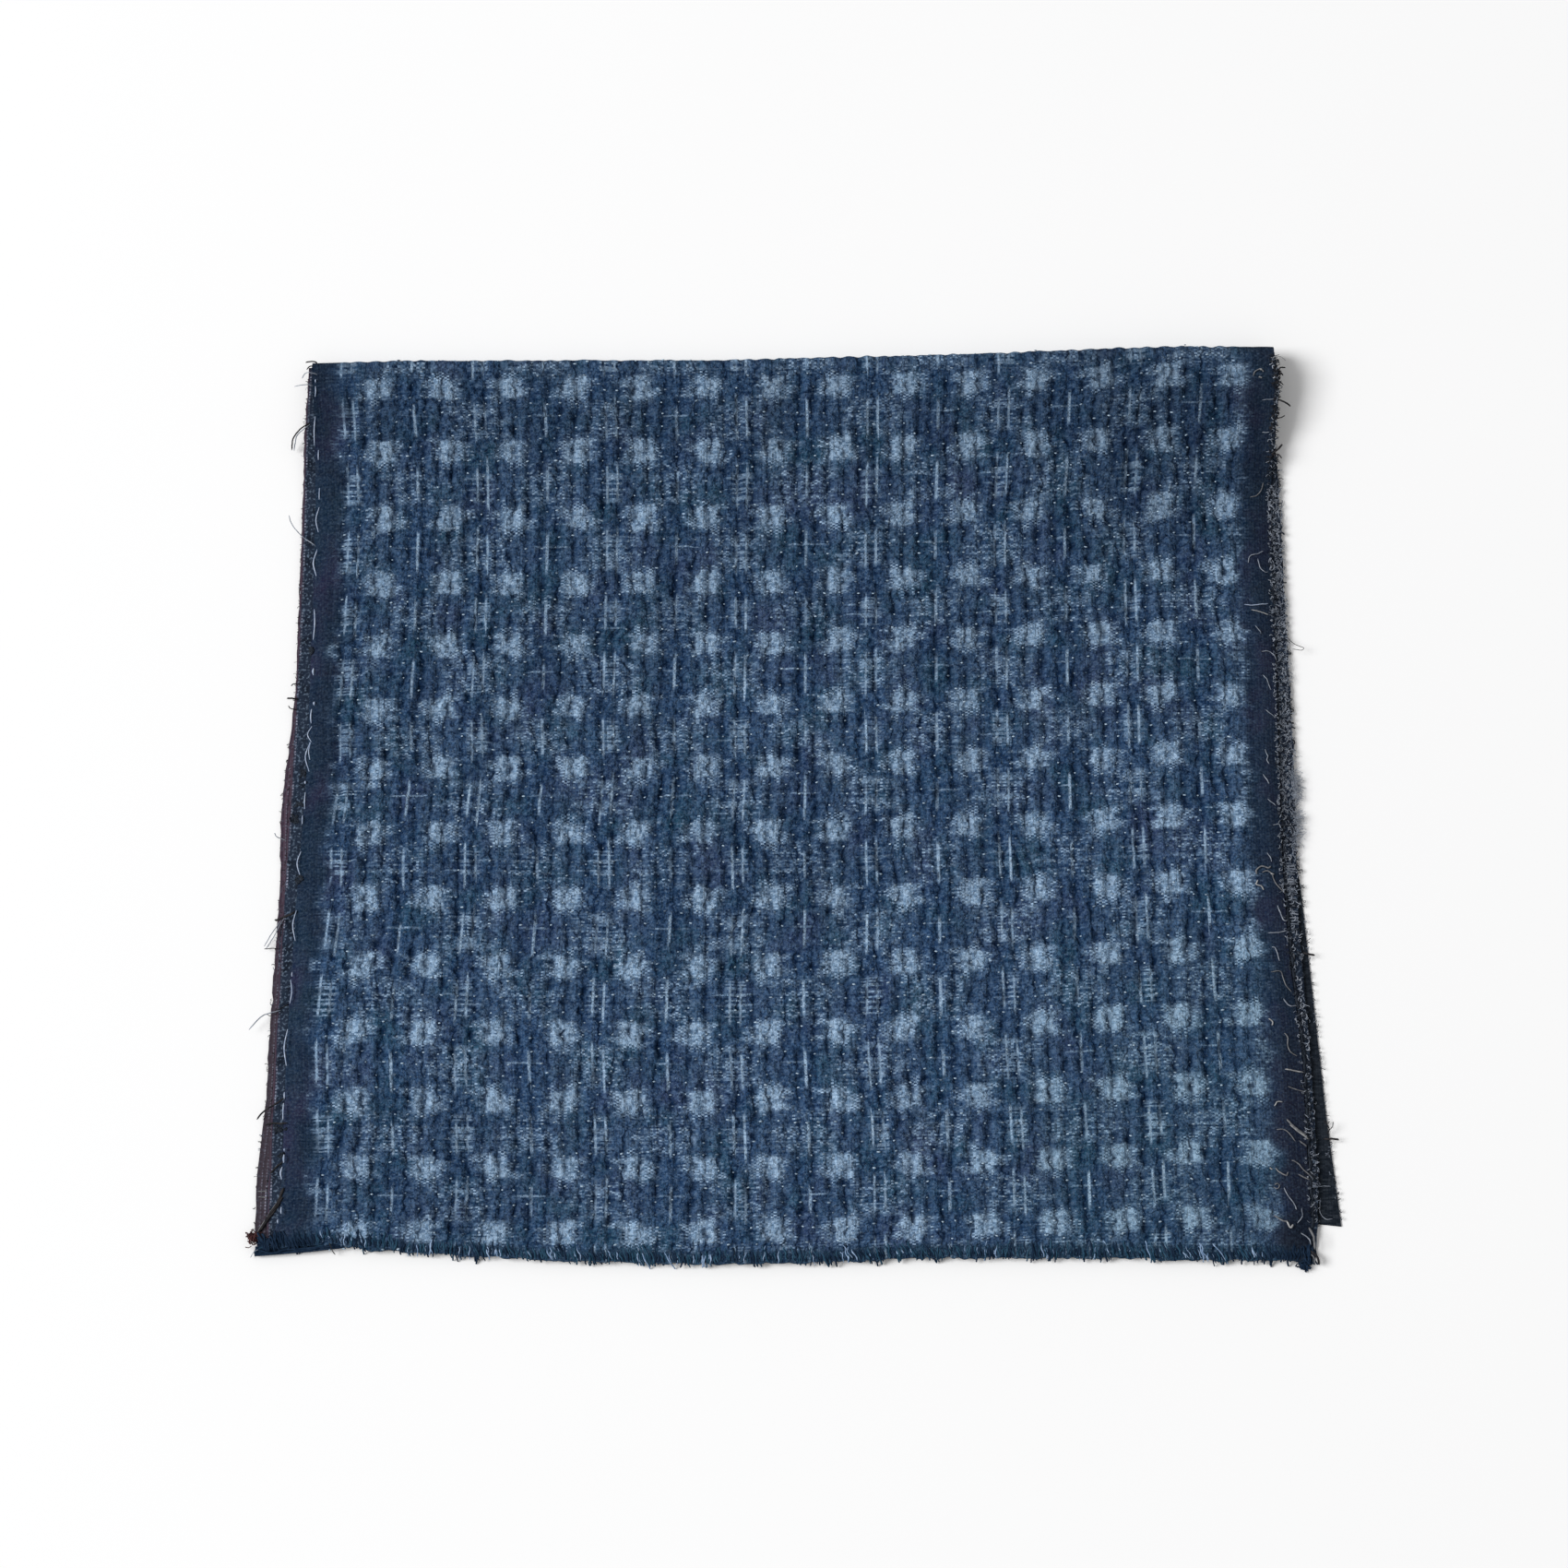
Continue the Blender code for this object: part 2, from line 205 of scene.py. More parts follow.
# Other threads, in millimetres from the middle of the cloth: the tone, the thickness, the tip and
# the path. The tip is how high the loose end stands, and a thread with no tip lies on the cloth.
THREADS = (
    # Whip thread and loose ends at the left edge
    ("dark", 0.7, 5.0, (-171.1, 162.2), (-172.9, 162.8), (-175.4, 163.2)),
    ("dark", 0.6, 4.0, (-172.6, 161.0), (-175.2, 161.0)),
    ("grey", 0.4, 4.5, (-171.0, 157.9), (-173.8, 158.4), (-175.4, 158.3), (-176.7, 157.0)),
    ("grey", 0.4, 4.0, (-172.7, 154.4), (-176.0, 154.5), (-179.4, 154.4)),
    ("dark", 0.7, 2.0, (-173.4, 140.6), (-176.9, 137.9), (-179.1, 134.5), (-179.5, 131.0)),
    ("grey", 0.5, 2.0, (-173.4, 140.0), (-177.1, 136.6), (-178.4, 133.9), (-179.0, 131.0)),
    ("grey", 0.4, 4.0, (-169.9, 94.8), (-174.6, 97.9), (-178.4, 102.5), (-179.8, 106.2)),
    ("dark", 0.5, 3.0, (-173.9, 44.4), (-175.7, 44.2), (-176.8, 43.6)),
    ("dark", 0.8, 3.0, (-174.4, 38.9), (-176.3, 38.9), (-177.9, 38.9)),
    ("dark", 0.5, 3.0, (-174.6, 35.0), (-176.6, 35.3), (-177.2, 36.4)),
    ("grey", 0.4, 3.0, (-177.0, -11.8), (-179.8, -11.1), (-180.9, -9.6)),
    ("dark", 1.0, 4.0, (-171.8, -37.3), (-174.3, -38.6), (-177.4, -40.2), (-179.3, -40.4)),
    ("grey", 0.4, 1.0, (-176.5, -39.4), (-178.4, -43.1), (-180.5, -47.2), (-182.6, -50.2)),
    ("grey", 0.4, 1.0, (-177.6, -40.2), (-179.7, -43.6), (-183.1, -49.1)),
    ("dark", 0.4, 1.5, (-178.0, -50.0), (-180.8, -50.2), (-183.0, -50.1)),
    ("dark", 0.5, 5.0, (-173.7, -69.6), (-175.6, -71.0), (-177.6, -72.1)),
    ("grey", 0.5, 3.0, (-176.6, -71.6), (-180.7, -72.7), (-183.3, -73.9), (-187.2, -78.2)),
    ("dark", 0.8, 2.0, (-173.7, -102.2), (-177.3, -104.9), (-180.8, -106.8), (-183.3, -109.2)),
    ("dark", 0.8, 0, (-172.7, -110.8), (-177.6, -110.4), (-180.6, -111.0)),
    ("tan", 0.5, 0, (-179.0, -133.6), (-182.0, -133.6)),
    ("tan", 0.5, 0, (-179.0, -135.6), (-182.0, -135.4)),
    ("dark", 1.3, 0, (-173.0, -133.0), (-174.9, -137.9), (-177.9, -142.0), (-181.0, -147.4)),
    ("dark", 1.0, 0, (-173.4, -136.0), (-175.9, -140.2), (-179.0, -144.6), (-181.4, -148.0)),
    ("tan", 0.45, 0, (-174.6, -136.6), (-177.4, -140.2), (-179.9, -144.4), (-181.6, -147.2)),
    ("dark", 0.7, 0, (-173.6, -123.8), (-176.0, -125.4), (-178.2, -127.7)),
    ("grey", 0.3, 1.0, (-180.9, -153.5), (-182.1, -154.0), (-183.7, -155.9)),
    ("dark", 0.4, 1.0, (-157.4, -151.0), (-156.3, -153.6), (-155.3, -155.0)),
    ("pale", 0.8, 0, (-178.7, -151.2), (-176.4, -152.2)),
    ("blue", 0.7, 0, (-151.2, -144.9), (-152.1, -147.4), (-149.9, -149.4), (-149.4, -151.4)),
    # Remains of a torn-off seam at the right edge
    ("tan", 0.5, 0, (161.5, 155.4), (162.4, 157.0), (164.3, 157.8), (165.1, 156.6)),
    ("cream", 0.8, 0, (163.9, 158.0), (164.6, 157.6)),
    ("tan", 0.8, 0, (163.5, 155.0), (164.6, 154.6)),
    ("cream", 0.4, 11.0, (167.9, 162.2), (169.6, 162.6), (171.4, 162.4), (172.9, 161.8)),
    ("dark", 0.6, 10.5, (169.6, 161.0), (172.2, 160.8), (173.5, 158.8)),
    ("dark", 0.4, 10.5, (168.4, 152.7), (170.6, 153.2), (172.4, 152.4)),
    ("dark", 0.8, 8.0, (168.6, 147.6), (172.6, 145.9), (174.9, 145.2)),
    ("dark", 0.5, 8.0, (168.8, 140.1), (171.6, 141.0), (173.0, 142.4)),
    ("grey", 0.4, 0, (164.6, 146.9), (168.6, 147.2)),
    ("dark", 0.9, 7.0, (168.0, 128.6), (170.4, 130.2), (171.8, 131.4)),
    ("dark", 0.5, 6.0, (168.0, 128.4), (170.1, 128.0), (171.2, 126.8)),
    ("tan", 0.4, 0, (159.8, 112.1), (162.2, 112.7), (163.9, 115.1), (164.5, 117.5)),
    ("grey", 0.4, 0, (164.6, 136.0), (167.1, 136.0)),
    ("grey", 0.35, 0, (158.3, 87.8), (159.0, 90.2), (161.8, 91.2), (163.6, 92.4)),
    ("grey", 0.35, 0, (161.7, 89.5), (162.7, 86.1), (164.3, 84.7), (165.4, 84.9)),
    ("pale", 0.4, 0, (156.4, 72.4), (160.2, 72.0), (165.0, 72.8)),
    ("cream", 0.4, 0, (158.8, 70.5), (162.0, 69.9), (164.9, 69.4)),
    ("grey", 0.35, 0, (160.0, 64.7), (161.5, 62.8), (162.1, 61.6)),
    ("grey", 0.4, 0, (161.9, 55.2), (164.6, 55.4), (166.4, 54.3), (167.5, 52.4)),
    ("grey", 0.35, 0, (162.1, 46.7), (163.6, 44.8), (164.6, 41.3)),
    ("grey", 0.35, 0, (162.6, 34.0), (165.9, 31.7)),
    ("dark", 0.3, 3.0, (171.4, 61.6), (174.1, 58.7), (176.7, 57.5), (175.8, 56.5), (172.6, 57.0)),
    ("grey", 0.35, 0, (161.9, 19.7), (162.7, 17.3), (162.4, 15.5), (163.2, 13.9)),
    ("grey", 0.4, 0, (160.9, 10.8), (162.4, 8.5), (163.0, 7.1)),
    ("grey", 0.4, 0, (162.2, 2.0), (165.0, -0.3)),
    ("grey", 0.4, 0, (163.9, -7.2), (166.1, -6.7), (166.9, -8.1)),
    ("grey", 0.35, 0, (161.3, -17.1), (162.6, -19.1), (162.7, -20.1)),
    ("tan", 0.7, 0, (157.5, -24.8), (157.8, -23.0), (159.6, -21.9), (162.0, -22.5), (163.1, -21.9)),
    ("tan", 0.5, 0, (159.5, -24.2), (161.1, -23.7), (163.0, -24.6), (164.5, -28.1), (167.6, -30.8)),
    ("cream", 0.7, 0, (162.3, -24.4), (163.3, -24.8)),
    ("cream", 0.6, 0, (157.8, -26.9), (157.3, -28.4), (159.0, -29.1), (159.8, -30.3)),
    ("grey", 0.5, 0, (164.4, -35.6), (165.5, -37.9), (166.3, -39.9), (167.6, -40.1), (168.3, -38.4)),
    ("grey", 0.4, 0, (160.8, -45.4), (164.3, -45.1), (167.5, -44.2)),
    ("grey", 0.4, 0, (161.9, -50.2), (163.2, -50.9), (164.4, -55.4)),
    ("tan", 0.5, 0, (169.6, -51.8), (169.6, -54.1), (168.6, -55.7)),
    ("tan", 0.4, 0, (161.2, -59.1), (164.3, -58.8), (165.1, -60.4), (166.3, -63.6), (168.0, -65.4)),
    ("grey", 0.5, 0, (165.3, -68.3), (167.4, -70.5), (170.1, -70.3)),
    ("cream", 0.6, 0, (160.0, -75.2), (161.3, -76.4), (161.2, -77.7)),
    ("tan", 0.5, 0, (165.1, -80.2), (166.4, -81.9), (166.4, -84.6), (167.3, -86.6), (169.4, -87.7)),
    ("cream", 0.6, 0, (164.9, -92.6), (168.4, -92.9), (171.5, -93.1)),
    ("tan", 0.45, 0, (165.7, -98.6), (169.0, -99.3), (173.6, -100.2)),
    ("cream", 0.5, 0, (160.9, -105.3), (161.8, -104.0), (163.6, -104.0)),
    ("tan", 0.8, 0, (164.9, -109.9), (167.2, -112.1), (170.2, -114.3), (173.2, -116.3)),
    ("cream", 0.6, 0, (165.9, -111.7), (168.9, -113.9), (172.5, -116.5)),
    ("tan", 0.45, 0, (161.3, -113.5), (163.7, -113.3), (165.7, -114.7), (167.9, -117.4)),
    ("tan", 0.6, 0, (169.0, -117.0), (171.6, -118.6)),
    ("dark", 0.9, 2.0, (172.9, -51.6), (174.8, -51.9), (177.1, -52.1)),
    ("dark", 0.35, 2.0, (177.9, -109.6), (179.7, -112.1), (179.4, -114.3)),
    ("dark", 0.35, 2.5, (178.6, -113.9), (180.4, -112.1), (180.8, -110.3)),
    ("dark", 0.9, 2.0, (177.6, -115.9), (180.0, -116.1), (182.3, -116.3)),
    ("tan", 0.55, 0, (166.0, -123.9), (168.0, -124.6), (170.3, -126.9), (173.6, -129.2)),
    ("tan", 0.6, 0, (168.3, -128.5), (170.5, -129.3), (172.5, -129.9)),
    ("tan", 0.6, 0, (160.4, -126.4), (161.8, -127.9), (163.9, -128.9), (164.3, -127.8)),
    ("cream", 0.6, 0, (158.6, -126.3), (159.4, -126.9)),
    ("tan", 0.4, 0, (160.0, -132.0), (161.0, -131.5), (161.8, -132.3), (161.0, -133.2), (160.0, -132.6)),
    ("grey", 0.4, 0, (163.2, -133.0), (164.9, -136.0), (166.8, -138.4), (167.5, -140.1)),
    ("grey", 0.4, 0, (169.0, -139.7), (168.9, -142.4), (167.3, -144.8)),
    ("cream", 0.8, 0, (163.6, -144.4), (164.9, -146.3), (165.9, -145.1)),
    ("tan", 0.6, 0, (159.3, -142.4), (161.9, -144.1), (163.9, -144.4)),
    ("grey", 0.5, 0, (168.6, -148.1), (171.1, -149.5), (172.1, -151.8)),
    ("dark", 1.0, 2.5, (171.4, -153.5), (173.7, -155.7), (174.3, -158.2)),
    ("tan", 0.6, 2.5, (171.4, -154.3), (173.1, -156.4), (173.2, -158.2)),
    ("tan", 1.0, 3.5, (171.5, -146.2), (172.8, -149.2), (173.2, -153.2)),
    ("grey", 0.3, 0, (176.0, -135.9), (175.6, -139.6), (176.6, -141.6), (177.9, -142.6), (179.9, -142.4)),
    ("grey", 0.3, 0, (174.6, -132.1), (177.6, -131.8), (179.6, -132.1)),
)

# How much of a thread's seen width is solid, under its fuzz
THREAD_CORE = 0.78

# Knots of whip thread at the left edge: across, y and size in millimetres
KNOTS = (
    (-170.2, 56.3, 1.2), (-171.3, 11.9, 1.2), (-172.6, 1.0, 1.2), (-174.0, -4.5, 1.5),
    (-171.6, -26.2, 1.5), (-175.6, -112.7, 1.6), (-174.6, -121.7, 1.1),
)


def read_table(rows, column, places):
    """A table's column at some places on its first column, straight between its rows."""
    return np.interp(places, [row[0] for row in rows], [getattr(row, column) for row in rows])


def both_edges(rows, way):
    """A half's left and right edges at ways from the fold's loop."""
    return read_table(rows, "left", way), read_table(rows, "right", way)


def ripples(across, along, length, seed, waves=14):
    """A smooth random field between about -1 and 1, with bumps of one usual length."""
    draw = np.random.RandomState(seed)
    total = np.zeros(np.broadcast(across, along).shape)
    for _ in range(waves):
        heading = draw.uniform(0, 2 * math.pi)
        turns = 2 * math.pi / (length * draw.uniform(0.75, 1.5))
        total += np.sin(turns * (across * math.cos(heading) + along * math.sin(heading))
                        + draw.uniform(0, 2 * math.pi))
    return total / math.sqrt(waves) / 1.2


def fold_shape(across):
    """The loop at places across: its centre, half depth, half height and reach."""
    back = read_table(FOLD, "back", across)
    top = read_table(FOLD, "height", across) - FACE_OUTER
    reach = read_table(FOLD, "reach", across)
    half_height = (top - LOWER_LEVEL) / 2
    half_depth = half_height * LOOP_ROUNDNESS
    return back - FACE_OUTER - half_depth, half_depth, half_height, reach


def loop_quarter(across):
    """Length of cloth from the fold's outermost line to where a half begins."""
    return fold_shape(across)[2] * math.pi / 2


def sag(across, y):
    """How far the upper half has sunk, between the lower half's cut and its own."""
    start = np.minimum(read_table(FACE_LOWER_CUT, "near", across),
                       read_table(BACKING_LOWER_CUT, "near", across))
    end = read_table(FACE_UPPER_CUT, "near", across)
    depth = np.minimum(SAG_DEPTH, SAG_SLOPE * (start - end))
    share = np.clip((start - y) / (start - end), 0.0, 1.0)
    return depth * 0.5 * (1.0 - np.cos(math.pi * share))


PRESSED_WIDTH = 0.011
PRESSED_BY = 0.60


def pressed(across, way):
    """The share of its height that the cloth keeps: its unquilted side edges lie thinner."""
    left, right = both_edges(BACKING_UPPER_EDGES, way)
    inside = np.minimum(right - across, across - left)
    edge = 1.0 - np.clip(inside / PRESSED_WIDTH, 0.0, 1.0)
    far = np.clip((way - 0.020) / 0.030, 0.0, 1.0)
    return 1.0 - PRESSED_BY * edge * edge * (3 - 2 * edge) * far * far * (3 - 2 * far)


def cloth_place(across, run, lift):
    """Where points of the cloth lie.

    run is the way along the cloth from the fold, over zero in the upper half and under zero in
    the lower half. lift is the distance outwards from the middle of the ply gap.
    """
    centre, half_depth, half_height, reach = fold_shape(across)
    quarter = half_height * math.pi / 2
    angle = np.clip(run / quarter, -1.0, 1.0) * math.pi / 2
    toward = np.cos(angle) / half_depth
    upward = np.sin(angle) / half_height
    size = np.hypot(toward, upward)
    loop_y = centre + half_depth * np.cos(angle) + lift * toward / size
    loop_z = LOWER_LEVEL + half_height * (1.0 + np.sin(angle)) + lift * upward / size
    way = np.abs(run) - quarter
    top = LOWER_LEVEL + 2 * half_height
    drop = np.clip(way / reach, 0.0, 1.0)
    slope = (top - UPPER_LEVEL) * 0.5 * math.pi / reach * np.sin(math.pi * drop)
    size = np.hypot(1.0, slope)
    upper_y = centre - way - lift * slope / size
    upper_z = UPPER_LEVEL + (top - UPPER_LEVEL) * 0.5 * (1.0 + np.cos(math.pi * drop)) + lift / size
    upper_z = upper_z - sag(across, upper_y)
    y = np.where(way <= 0, loop_y, np.where(run > 0, upper_y, centre - way))
    z = np.where(way <= 0, loop_z, np.where(run > 0, upper_z, LOWER_LEVEL - lift))
    z = z * pressed(across, np.maximum(way, 0.0))
    return np.stack([across + SHIFT[0], y + SHIFT[1], z], axis=-1)


def repeat_place(across, run):
    """Where places of the flat cut fall in the repeat: its column and its row, as lengths."""
    middles = np.array([row.middle for row in BLOB_ROWS])
    first = np.interp(run, middles, [row.first for row in BLOB_ROWS])
    last = np.interp(run, middles, [row.last for row in BLOB_ROWS])
    share = (across - first) / (last - first)
    side = np.clip(share, -0.1, 1.1)
    runs = [row.middle + (side - 0.5) * (row.right - row.left)
            + 2 * (row.left + row.right - 2 * row.middle) * (side - 0.5)**2 for row in BLOB_ROWS]
    row = -1.0 + (run - runs[0]) / ROW_PITCH
    for number, (start, stop) in enumerate(zip(runs, runs[1:])):
        row = np.where(run >= start, number - 1.0 + (run - start) / (stop - start), row)
    return share * (BLOB_COLUMNS - 1) * COLUMN_PITCH, row * ROW_PITCH


def meander(across, run):
    """How far the quilting's columns wander to the right."""
    return (0.0011 * ripples(across * 0.7, run, 0.030, 7) + 0.0003 * ripples(across, run, 0.010, 17)
            + 0.0004 * ripples(across, run, 0.0045, 18))


def ridge_number(across, run):
    """Which of the quilting's ridges a place is on. Its grooves are at the halves."""
    still = across
    for _ in range(3):
        still = across - meander(still, run)
    return (still - QUILTED_LEFT) / STITCH_PITCH


def stitch_places():
    """Every quilting stitch: across, run, turn, size, shade and how hard it pulls."""
    draw = np.random.RandomState(41)
    places = []
    run = FIRST_STITCHES
    while run < LAST_STITCHES:
        count = int((QUILTED_RIGHT - QUILTED_LEFT) / STITCH_PITCH)
        across = QUILTED_LEFT + STITCH_PITCH * (np.arange(count) + 0.5)
        across = across + meander(across, run)
        jitter = draw.normal(0.0, 0.00040, count) + draw.normal(0.0, 0.0003)
        slip = STITCH_PITCH * 0.5 * (draw.rand() < 0.12)
        lean = 0.0016 * ripples(across, run * 0.8, 0.12, 11)
        along = run + lean + draw.normal(0.0, 0.00030, count)
        shade = np.clip(draw.normal(0.52, 0.34, count) * draw.uniform(0.65, 1.2), 0.0, 1.0)
        size = draw.uniform(0.60, 1.25, count)
        turn = draw.normal(-0.05, 0.16, count)
        pull = draw.uniform(0.45, 1.15, count) * draw.uniform(0.85, 1.1)
        kept = draw.rand(count) > MISSING_STITCHES
        rows = np.stack([across + jitter + slip, along, turn, size, shade, pull], axis=1)
        places.append(rows[kept & (rows[:, 0] < QUILTED_RIGHT)])
        run += STITCH_ROW_PITCH * draw.uniform(0.80, 1.20)
    return np.concatenate(places)


def quilt_relief(stitches):
    """Height of the quilted cloth on a fine grid of its flat cut, and that grid's corner."""
    low = np.array(RELIEF_LOW)
    across = np.arange(low[0], RELIEF_HIGH[0], RELIEF_STEP)
    along = np.arange(low[1], RELIEF_HIGH[1], RELIEF_STEP)
    flat_across, flat_along = np.meshgrid(across, along)
    inside = np.minimum(flat_across - QUILTED_LEFT, QUILTED_RIGHT - flat_across)
    calm = np.clip(inside / 0.004 + 0.5, 0.0, 1.0)
    ridge = ridge_number(flat_across, flat_along)
    away = np.abs(ridge % 1.0 - 0.5) * STITCH_PITCH
    hold = np.clip(0.80 + 0.38 * ripples(np.floor(ridge) * 0.0531, flat_along, 0.008, 19), 0.30, 1.1)
    height = -1.02 * GROOVE_DEPTH * calm * hold * np.exp(-away / GROOVE_ACROSS)
    reach = int(DIMPLE_REACH / RELIEF_STEP)
    for place_across, place_along, _, _, _, pull in stitches:
        column = int((place_across - low[0]) / RELIEF_STEP)
        row = int((place_along - low[1]) / RELIEF_STEP)
        if row < reach or row + reach >= len(along):
            continue
        part = (slice(row - reach, row + reach), slice(column - reach, column + reach))
        side = (flat_across[part] - place_across) / GROOVE_ACROSS
        way = (flat_along[part] - place_along) / DIMPLE_ALONG
        height[part] = height[part] - 0.38 * GROOVE_DEPTH * pull * np.exp(-0.5 * (side**2 + way**2))
    puff = 0.00065 * calm * (1.0 + 0.7 * ripples(flat_across * 1.2, flat_along, 0.0056, 3))
    drag = 0.00012 * ripples(flat_across * 1.8, flat_along * 0.5, 0.014, 5)
    crinkle = (0.3 + 0.7 * calm) * 0.00022 * ripples(flat_across * 1.2, flat_along, 0.0038, 6, 24)
    return np.maximum(height + puff + drag + crinkle, -GROOVE_DEPTH), low


def read_relief(relief, low, across, run):
    """The quilted height at places of the flat cut, even between the grid's points."""
    column = np.clip((across - low[0]) / RELIEF_STEP, 0, relief.shape[1] - 1.001)
    row = np.clip((run - low[1]) / RELIEF_STEP, 0, relief.shape[0] - 1.001)
    left = column.astype(int)
    near = row.astype(int)
    side = column - left
    way = row - near
    lower = relief[near, left] * (1 - side) + relief[near, left + 1] * side
    upper = relief[near + 1, left] * (1 - side) + relief[near + 1, left + 1] * side
    return lower * (1 - way) + upper * way


def flat_slab(columns, rows):
    """A closed slab of unit thickness, with the column, row and side of each corner."""
    mesh = bmesh.new()
    bmesh.ops.create_grid(mesh, x_segments=columns, y_segments=rows, size=1.0)
    grown = bmesh.ops.extrude_face_region(mesh, geom=mesh.faces[:])["geom"]
    top = [item for item in grown if isinstance(item, bmesh.types.BMVert)]
    bmesh.ops.translate(mesh, vec=(0.0, 0.0, 1.0), verts=top)
    spots = np.array([corner.co for corner in mesh.verts])
    column = np.rint((spots[:, 0] + 1) / 2 * columns)
    row = np.rint((spots[:, 1] + 1) / 2 * rows)
    return mesh, column / columns, row, spots[:, 2] > 0.5


def ply_places(share, row, steps, upper_edges, lower_edges, upper_cut, lower_cut, ragged):
    """The flat place, across and run, of each corner of a ply. Three rounds settle it."""
    lower_rows, loop_rows, upper_rows = steps
    below = row < lower_rows
    above = row > lower_rows + loop_rows
    across = np.where(below, -0.175 + 0.350 * share, -0.172 + 0.340 * share)
    for _ in range(3):
        centre = fold_shape(across)[0]
        quarter = loop_quarter(across)
        lower_near = read_table(lower_cut, "near", across)
        upper_near = read_table(upper_cut, "near", across)
        upper_near = upper_near + ragged * (2.6 * ripples(across, 0.3, 0.0075, 23)
                                            + 1.6 * ripples(across, 0.3, 0.0026, 24))
        lower_run = -quarter - (centre - lower_near) * (1 - row / lower_rows)
        loop_run = quarter * (2 * (row - lower_rows) / loop_rows - 1)
        upper_run = quarter + (centre - upper_near) * (row - lower_rows - loop_rows) / upper_rows
        run = np.where(below, lower_run, np.where(above, upper_run, loop_run))
        way = np.maximum(np.abs(run) - quarter, 0.0)
        left, right = (np.where(below, lower, upper)
                       for lower, upper in zip(both_edges(lower_edges, way), both_edges(upper_edges, way)))
        left = left + ragged * ripples(run, 0.3, 0.006, 21)
        right = right + ragged * ripples(run, 0.7, 0.005, 22)
        across = left + (right - left) * share
    return across, run


def place_object(name, data):
    """A new object at the origin."""
    piece = bpy.data.objects.new(name, data)
    bpy.context.scene.collection.objects.link(piece)
    return piece


def finish_mesh(name, mesh, material, smooth=40.0):
    """Turn a bmesh into a piece at the origin, smooth but for its sharp edges."""
    bmesh.ops.recalc_face_normals(mesh, faces=mesh.faces[:])
    data = bpy.data.meshes.new(name)
    mesh.to_mesh(data)
    mesh.free()
    data.materials.append(material)
    data.shade_smooth()
    data.set_sharp_from_angle(angle=math.radians(smooth))
    return place_object(name, data)


def lay_flat_map(data, name, corner_layer):
    """Make a UV map out of a value kept at each corner."""
    values = np.empty(len(data.vertices) * 3)
    data.attributes[corner_layer].data.foreach_get("vector", values)
    values = values.reshape(-1, 3)[:, :2]
    owners = np.empty(len(data.loops), dtype=np.int32)
    data.loops.foreach_get("vertex_index", owners)
    layer = data.uv_layers.new(name=name)
    layer.data.foreach_set("uv", values[owners].ravel())


# Columns of each sheet's mesh, and its rows in the lower half, the loop and the upper half
FACE_COLUMNS = 420
FACE_STEPS = (8, 12, 200)
BACKING_COLUMNS = 40
BACKING_STEPS = (110, 12, 150)

# The hidden side of the face keeps only some of its columns and rows, but all of the last ones
HIDDEN_COLUMNS = 10
HIDDEN_ROWS = 5
HEM_ROWS = 15

# Waves of the plies' edges
FACE_RAGGED = 0.00015
BACKING_RAGGED = 0.00025

# The raw end: how high and how far in it rolls, and how far in goes its darker rim, part plain navy and
# part painted shade
ROLL_HEIGHT = 0.0007
ROLL_MIDDLE = 0.0032
ROLL_WIDTH = 0.0018
RIM_WIDTH = 0.0080


def make_face(relief, low, material):
    """The kasuri face: quilted in the upper half and round the fold, flat below."""
    mesh, share, row, outside = flat_slab(FACE_COLUMNS, sum(FACE_STEPS))
    across, run = ply_places(share, row, FACE_STEPS, FACE_UPPER_EDGES, FACE_LOWER_EDGES,
                             FACE_UPPER_CUT, FACE_LOWER_CUT, FACE_RAGGED)
    by_cut = run > 0.1
    raised = read_relief(relief, low, across, run) * np.clip((run + 0.0012) / 0.003, 0.0, 1.0)
    raised = raised * np.clip((run - 0.003) / 0.009, 0.45, 1.0)
    cut = read_table(FACE_UPPER_CUT, "near", across)
    from_cut = (fold_shape(across)[0] - (run - loop_quarter(across))) - cut
    rolled = ROLL_HEIGHT * np.exp(-0.5 * ((from_cut - ROLL_MIDDLE) / ROLL_WIDTH)**2) * by_cut
    calm = np.where(by_cut, np.clip((from_cut - 0.002) / 0.006, 0.0, 1.0), 1.0)
    raised = raised * calm + rolled
    lift = np.where(outside, FACE_OUTER + raised, FACE_INNER)
    places = cloth_place(across, run, lift)
    keep_map = mesh.verts.layers.float_vector.new("flat_place")
    for corner, place, u, v in zip(mesh.verts, places, *repeat_place(across, run)):
        corner.co = place
        corner[keep_map] = (u, v, 0.0)
    for name, values in (
        ("crest", raised / GROOVE_DEPTH),
        ("ridge", ridge_number(across, run)),
        ("reverse", 1.0 - outside),
        ("rim", np.clip(1.0 - from_cut / RIM_WIDTH, 0.0, 1.0) * by_cut),
    ):
        layer = mesh.verts.layers.float.new(name)
        for corner, value in zip(mesh.verts, values):
            corner[layer] = value
    mesh.verts.index_update()
    column = np.rint(share * FACE_COLUMNS)
    kept_column = column % HIDDEN_COLUMNS == 0
    kept_row = ((row <= FACE_STEPS[0] + FACE_STEPS[1]) | (row % HIDDEN_ROWS == 0)
                | (row >= sum(FACE_STEPS) - HEM_ROWS))
    spare = []
    for edge in mesh.edges:
        one, two = (end.index for end in edge.verts)
        in_column = column[one] == column[two] and kept_column[one]
        in_row = row[one] == row[two] and kept_row[one]
        if not (outside[one] or outside[two] or in_column or in_row):
            spare.append(edge)
    bmesh.ops.dissolve_edges(mesh, edges=spare, use_verts=True)
    piece = finish_mesh("kasuri_face_cloth", mesh, material)
    lay_flat_map(piece.data, "cloth", "flat_place")
    return piece


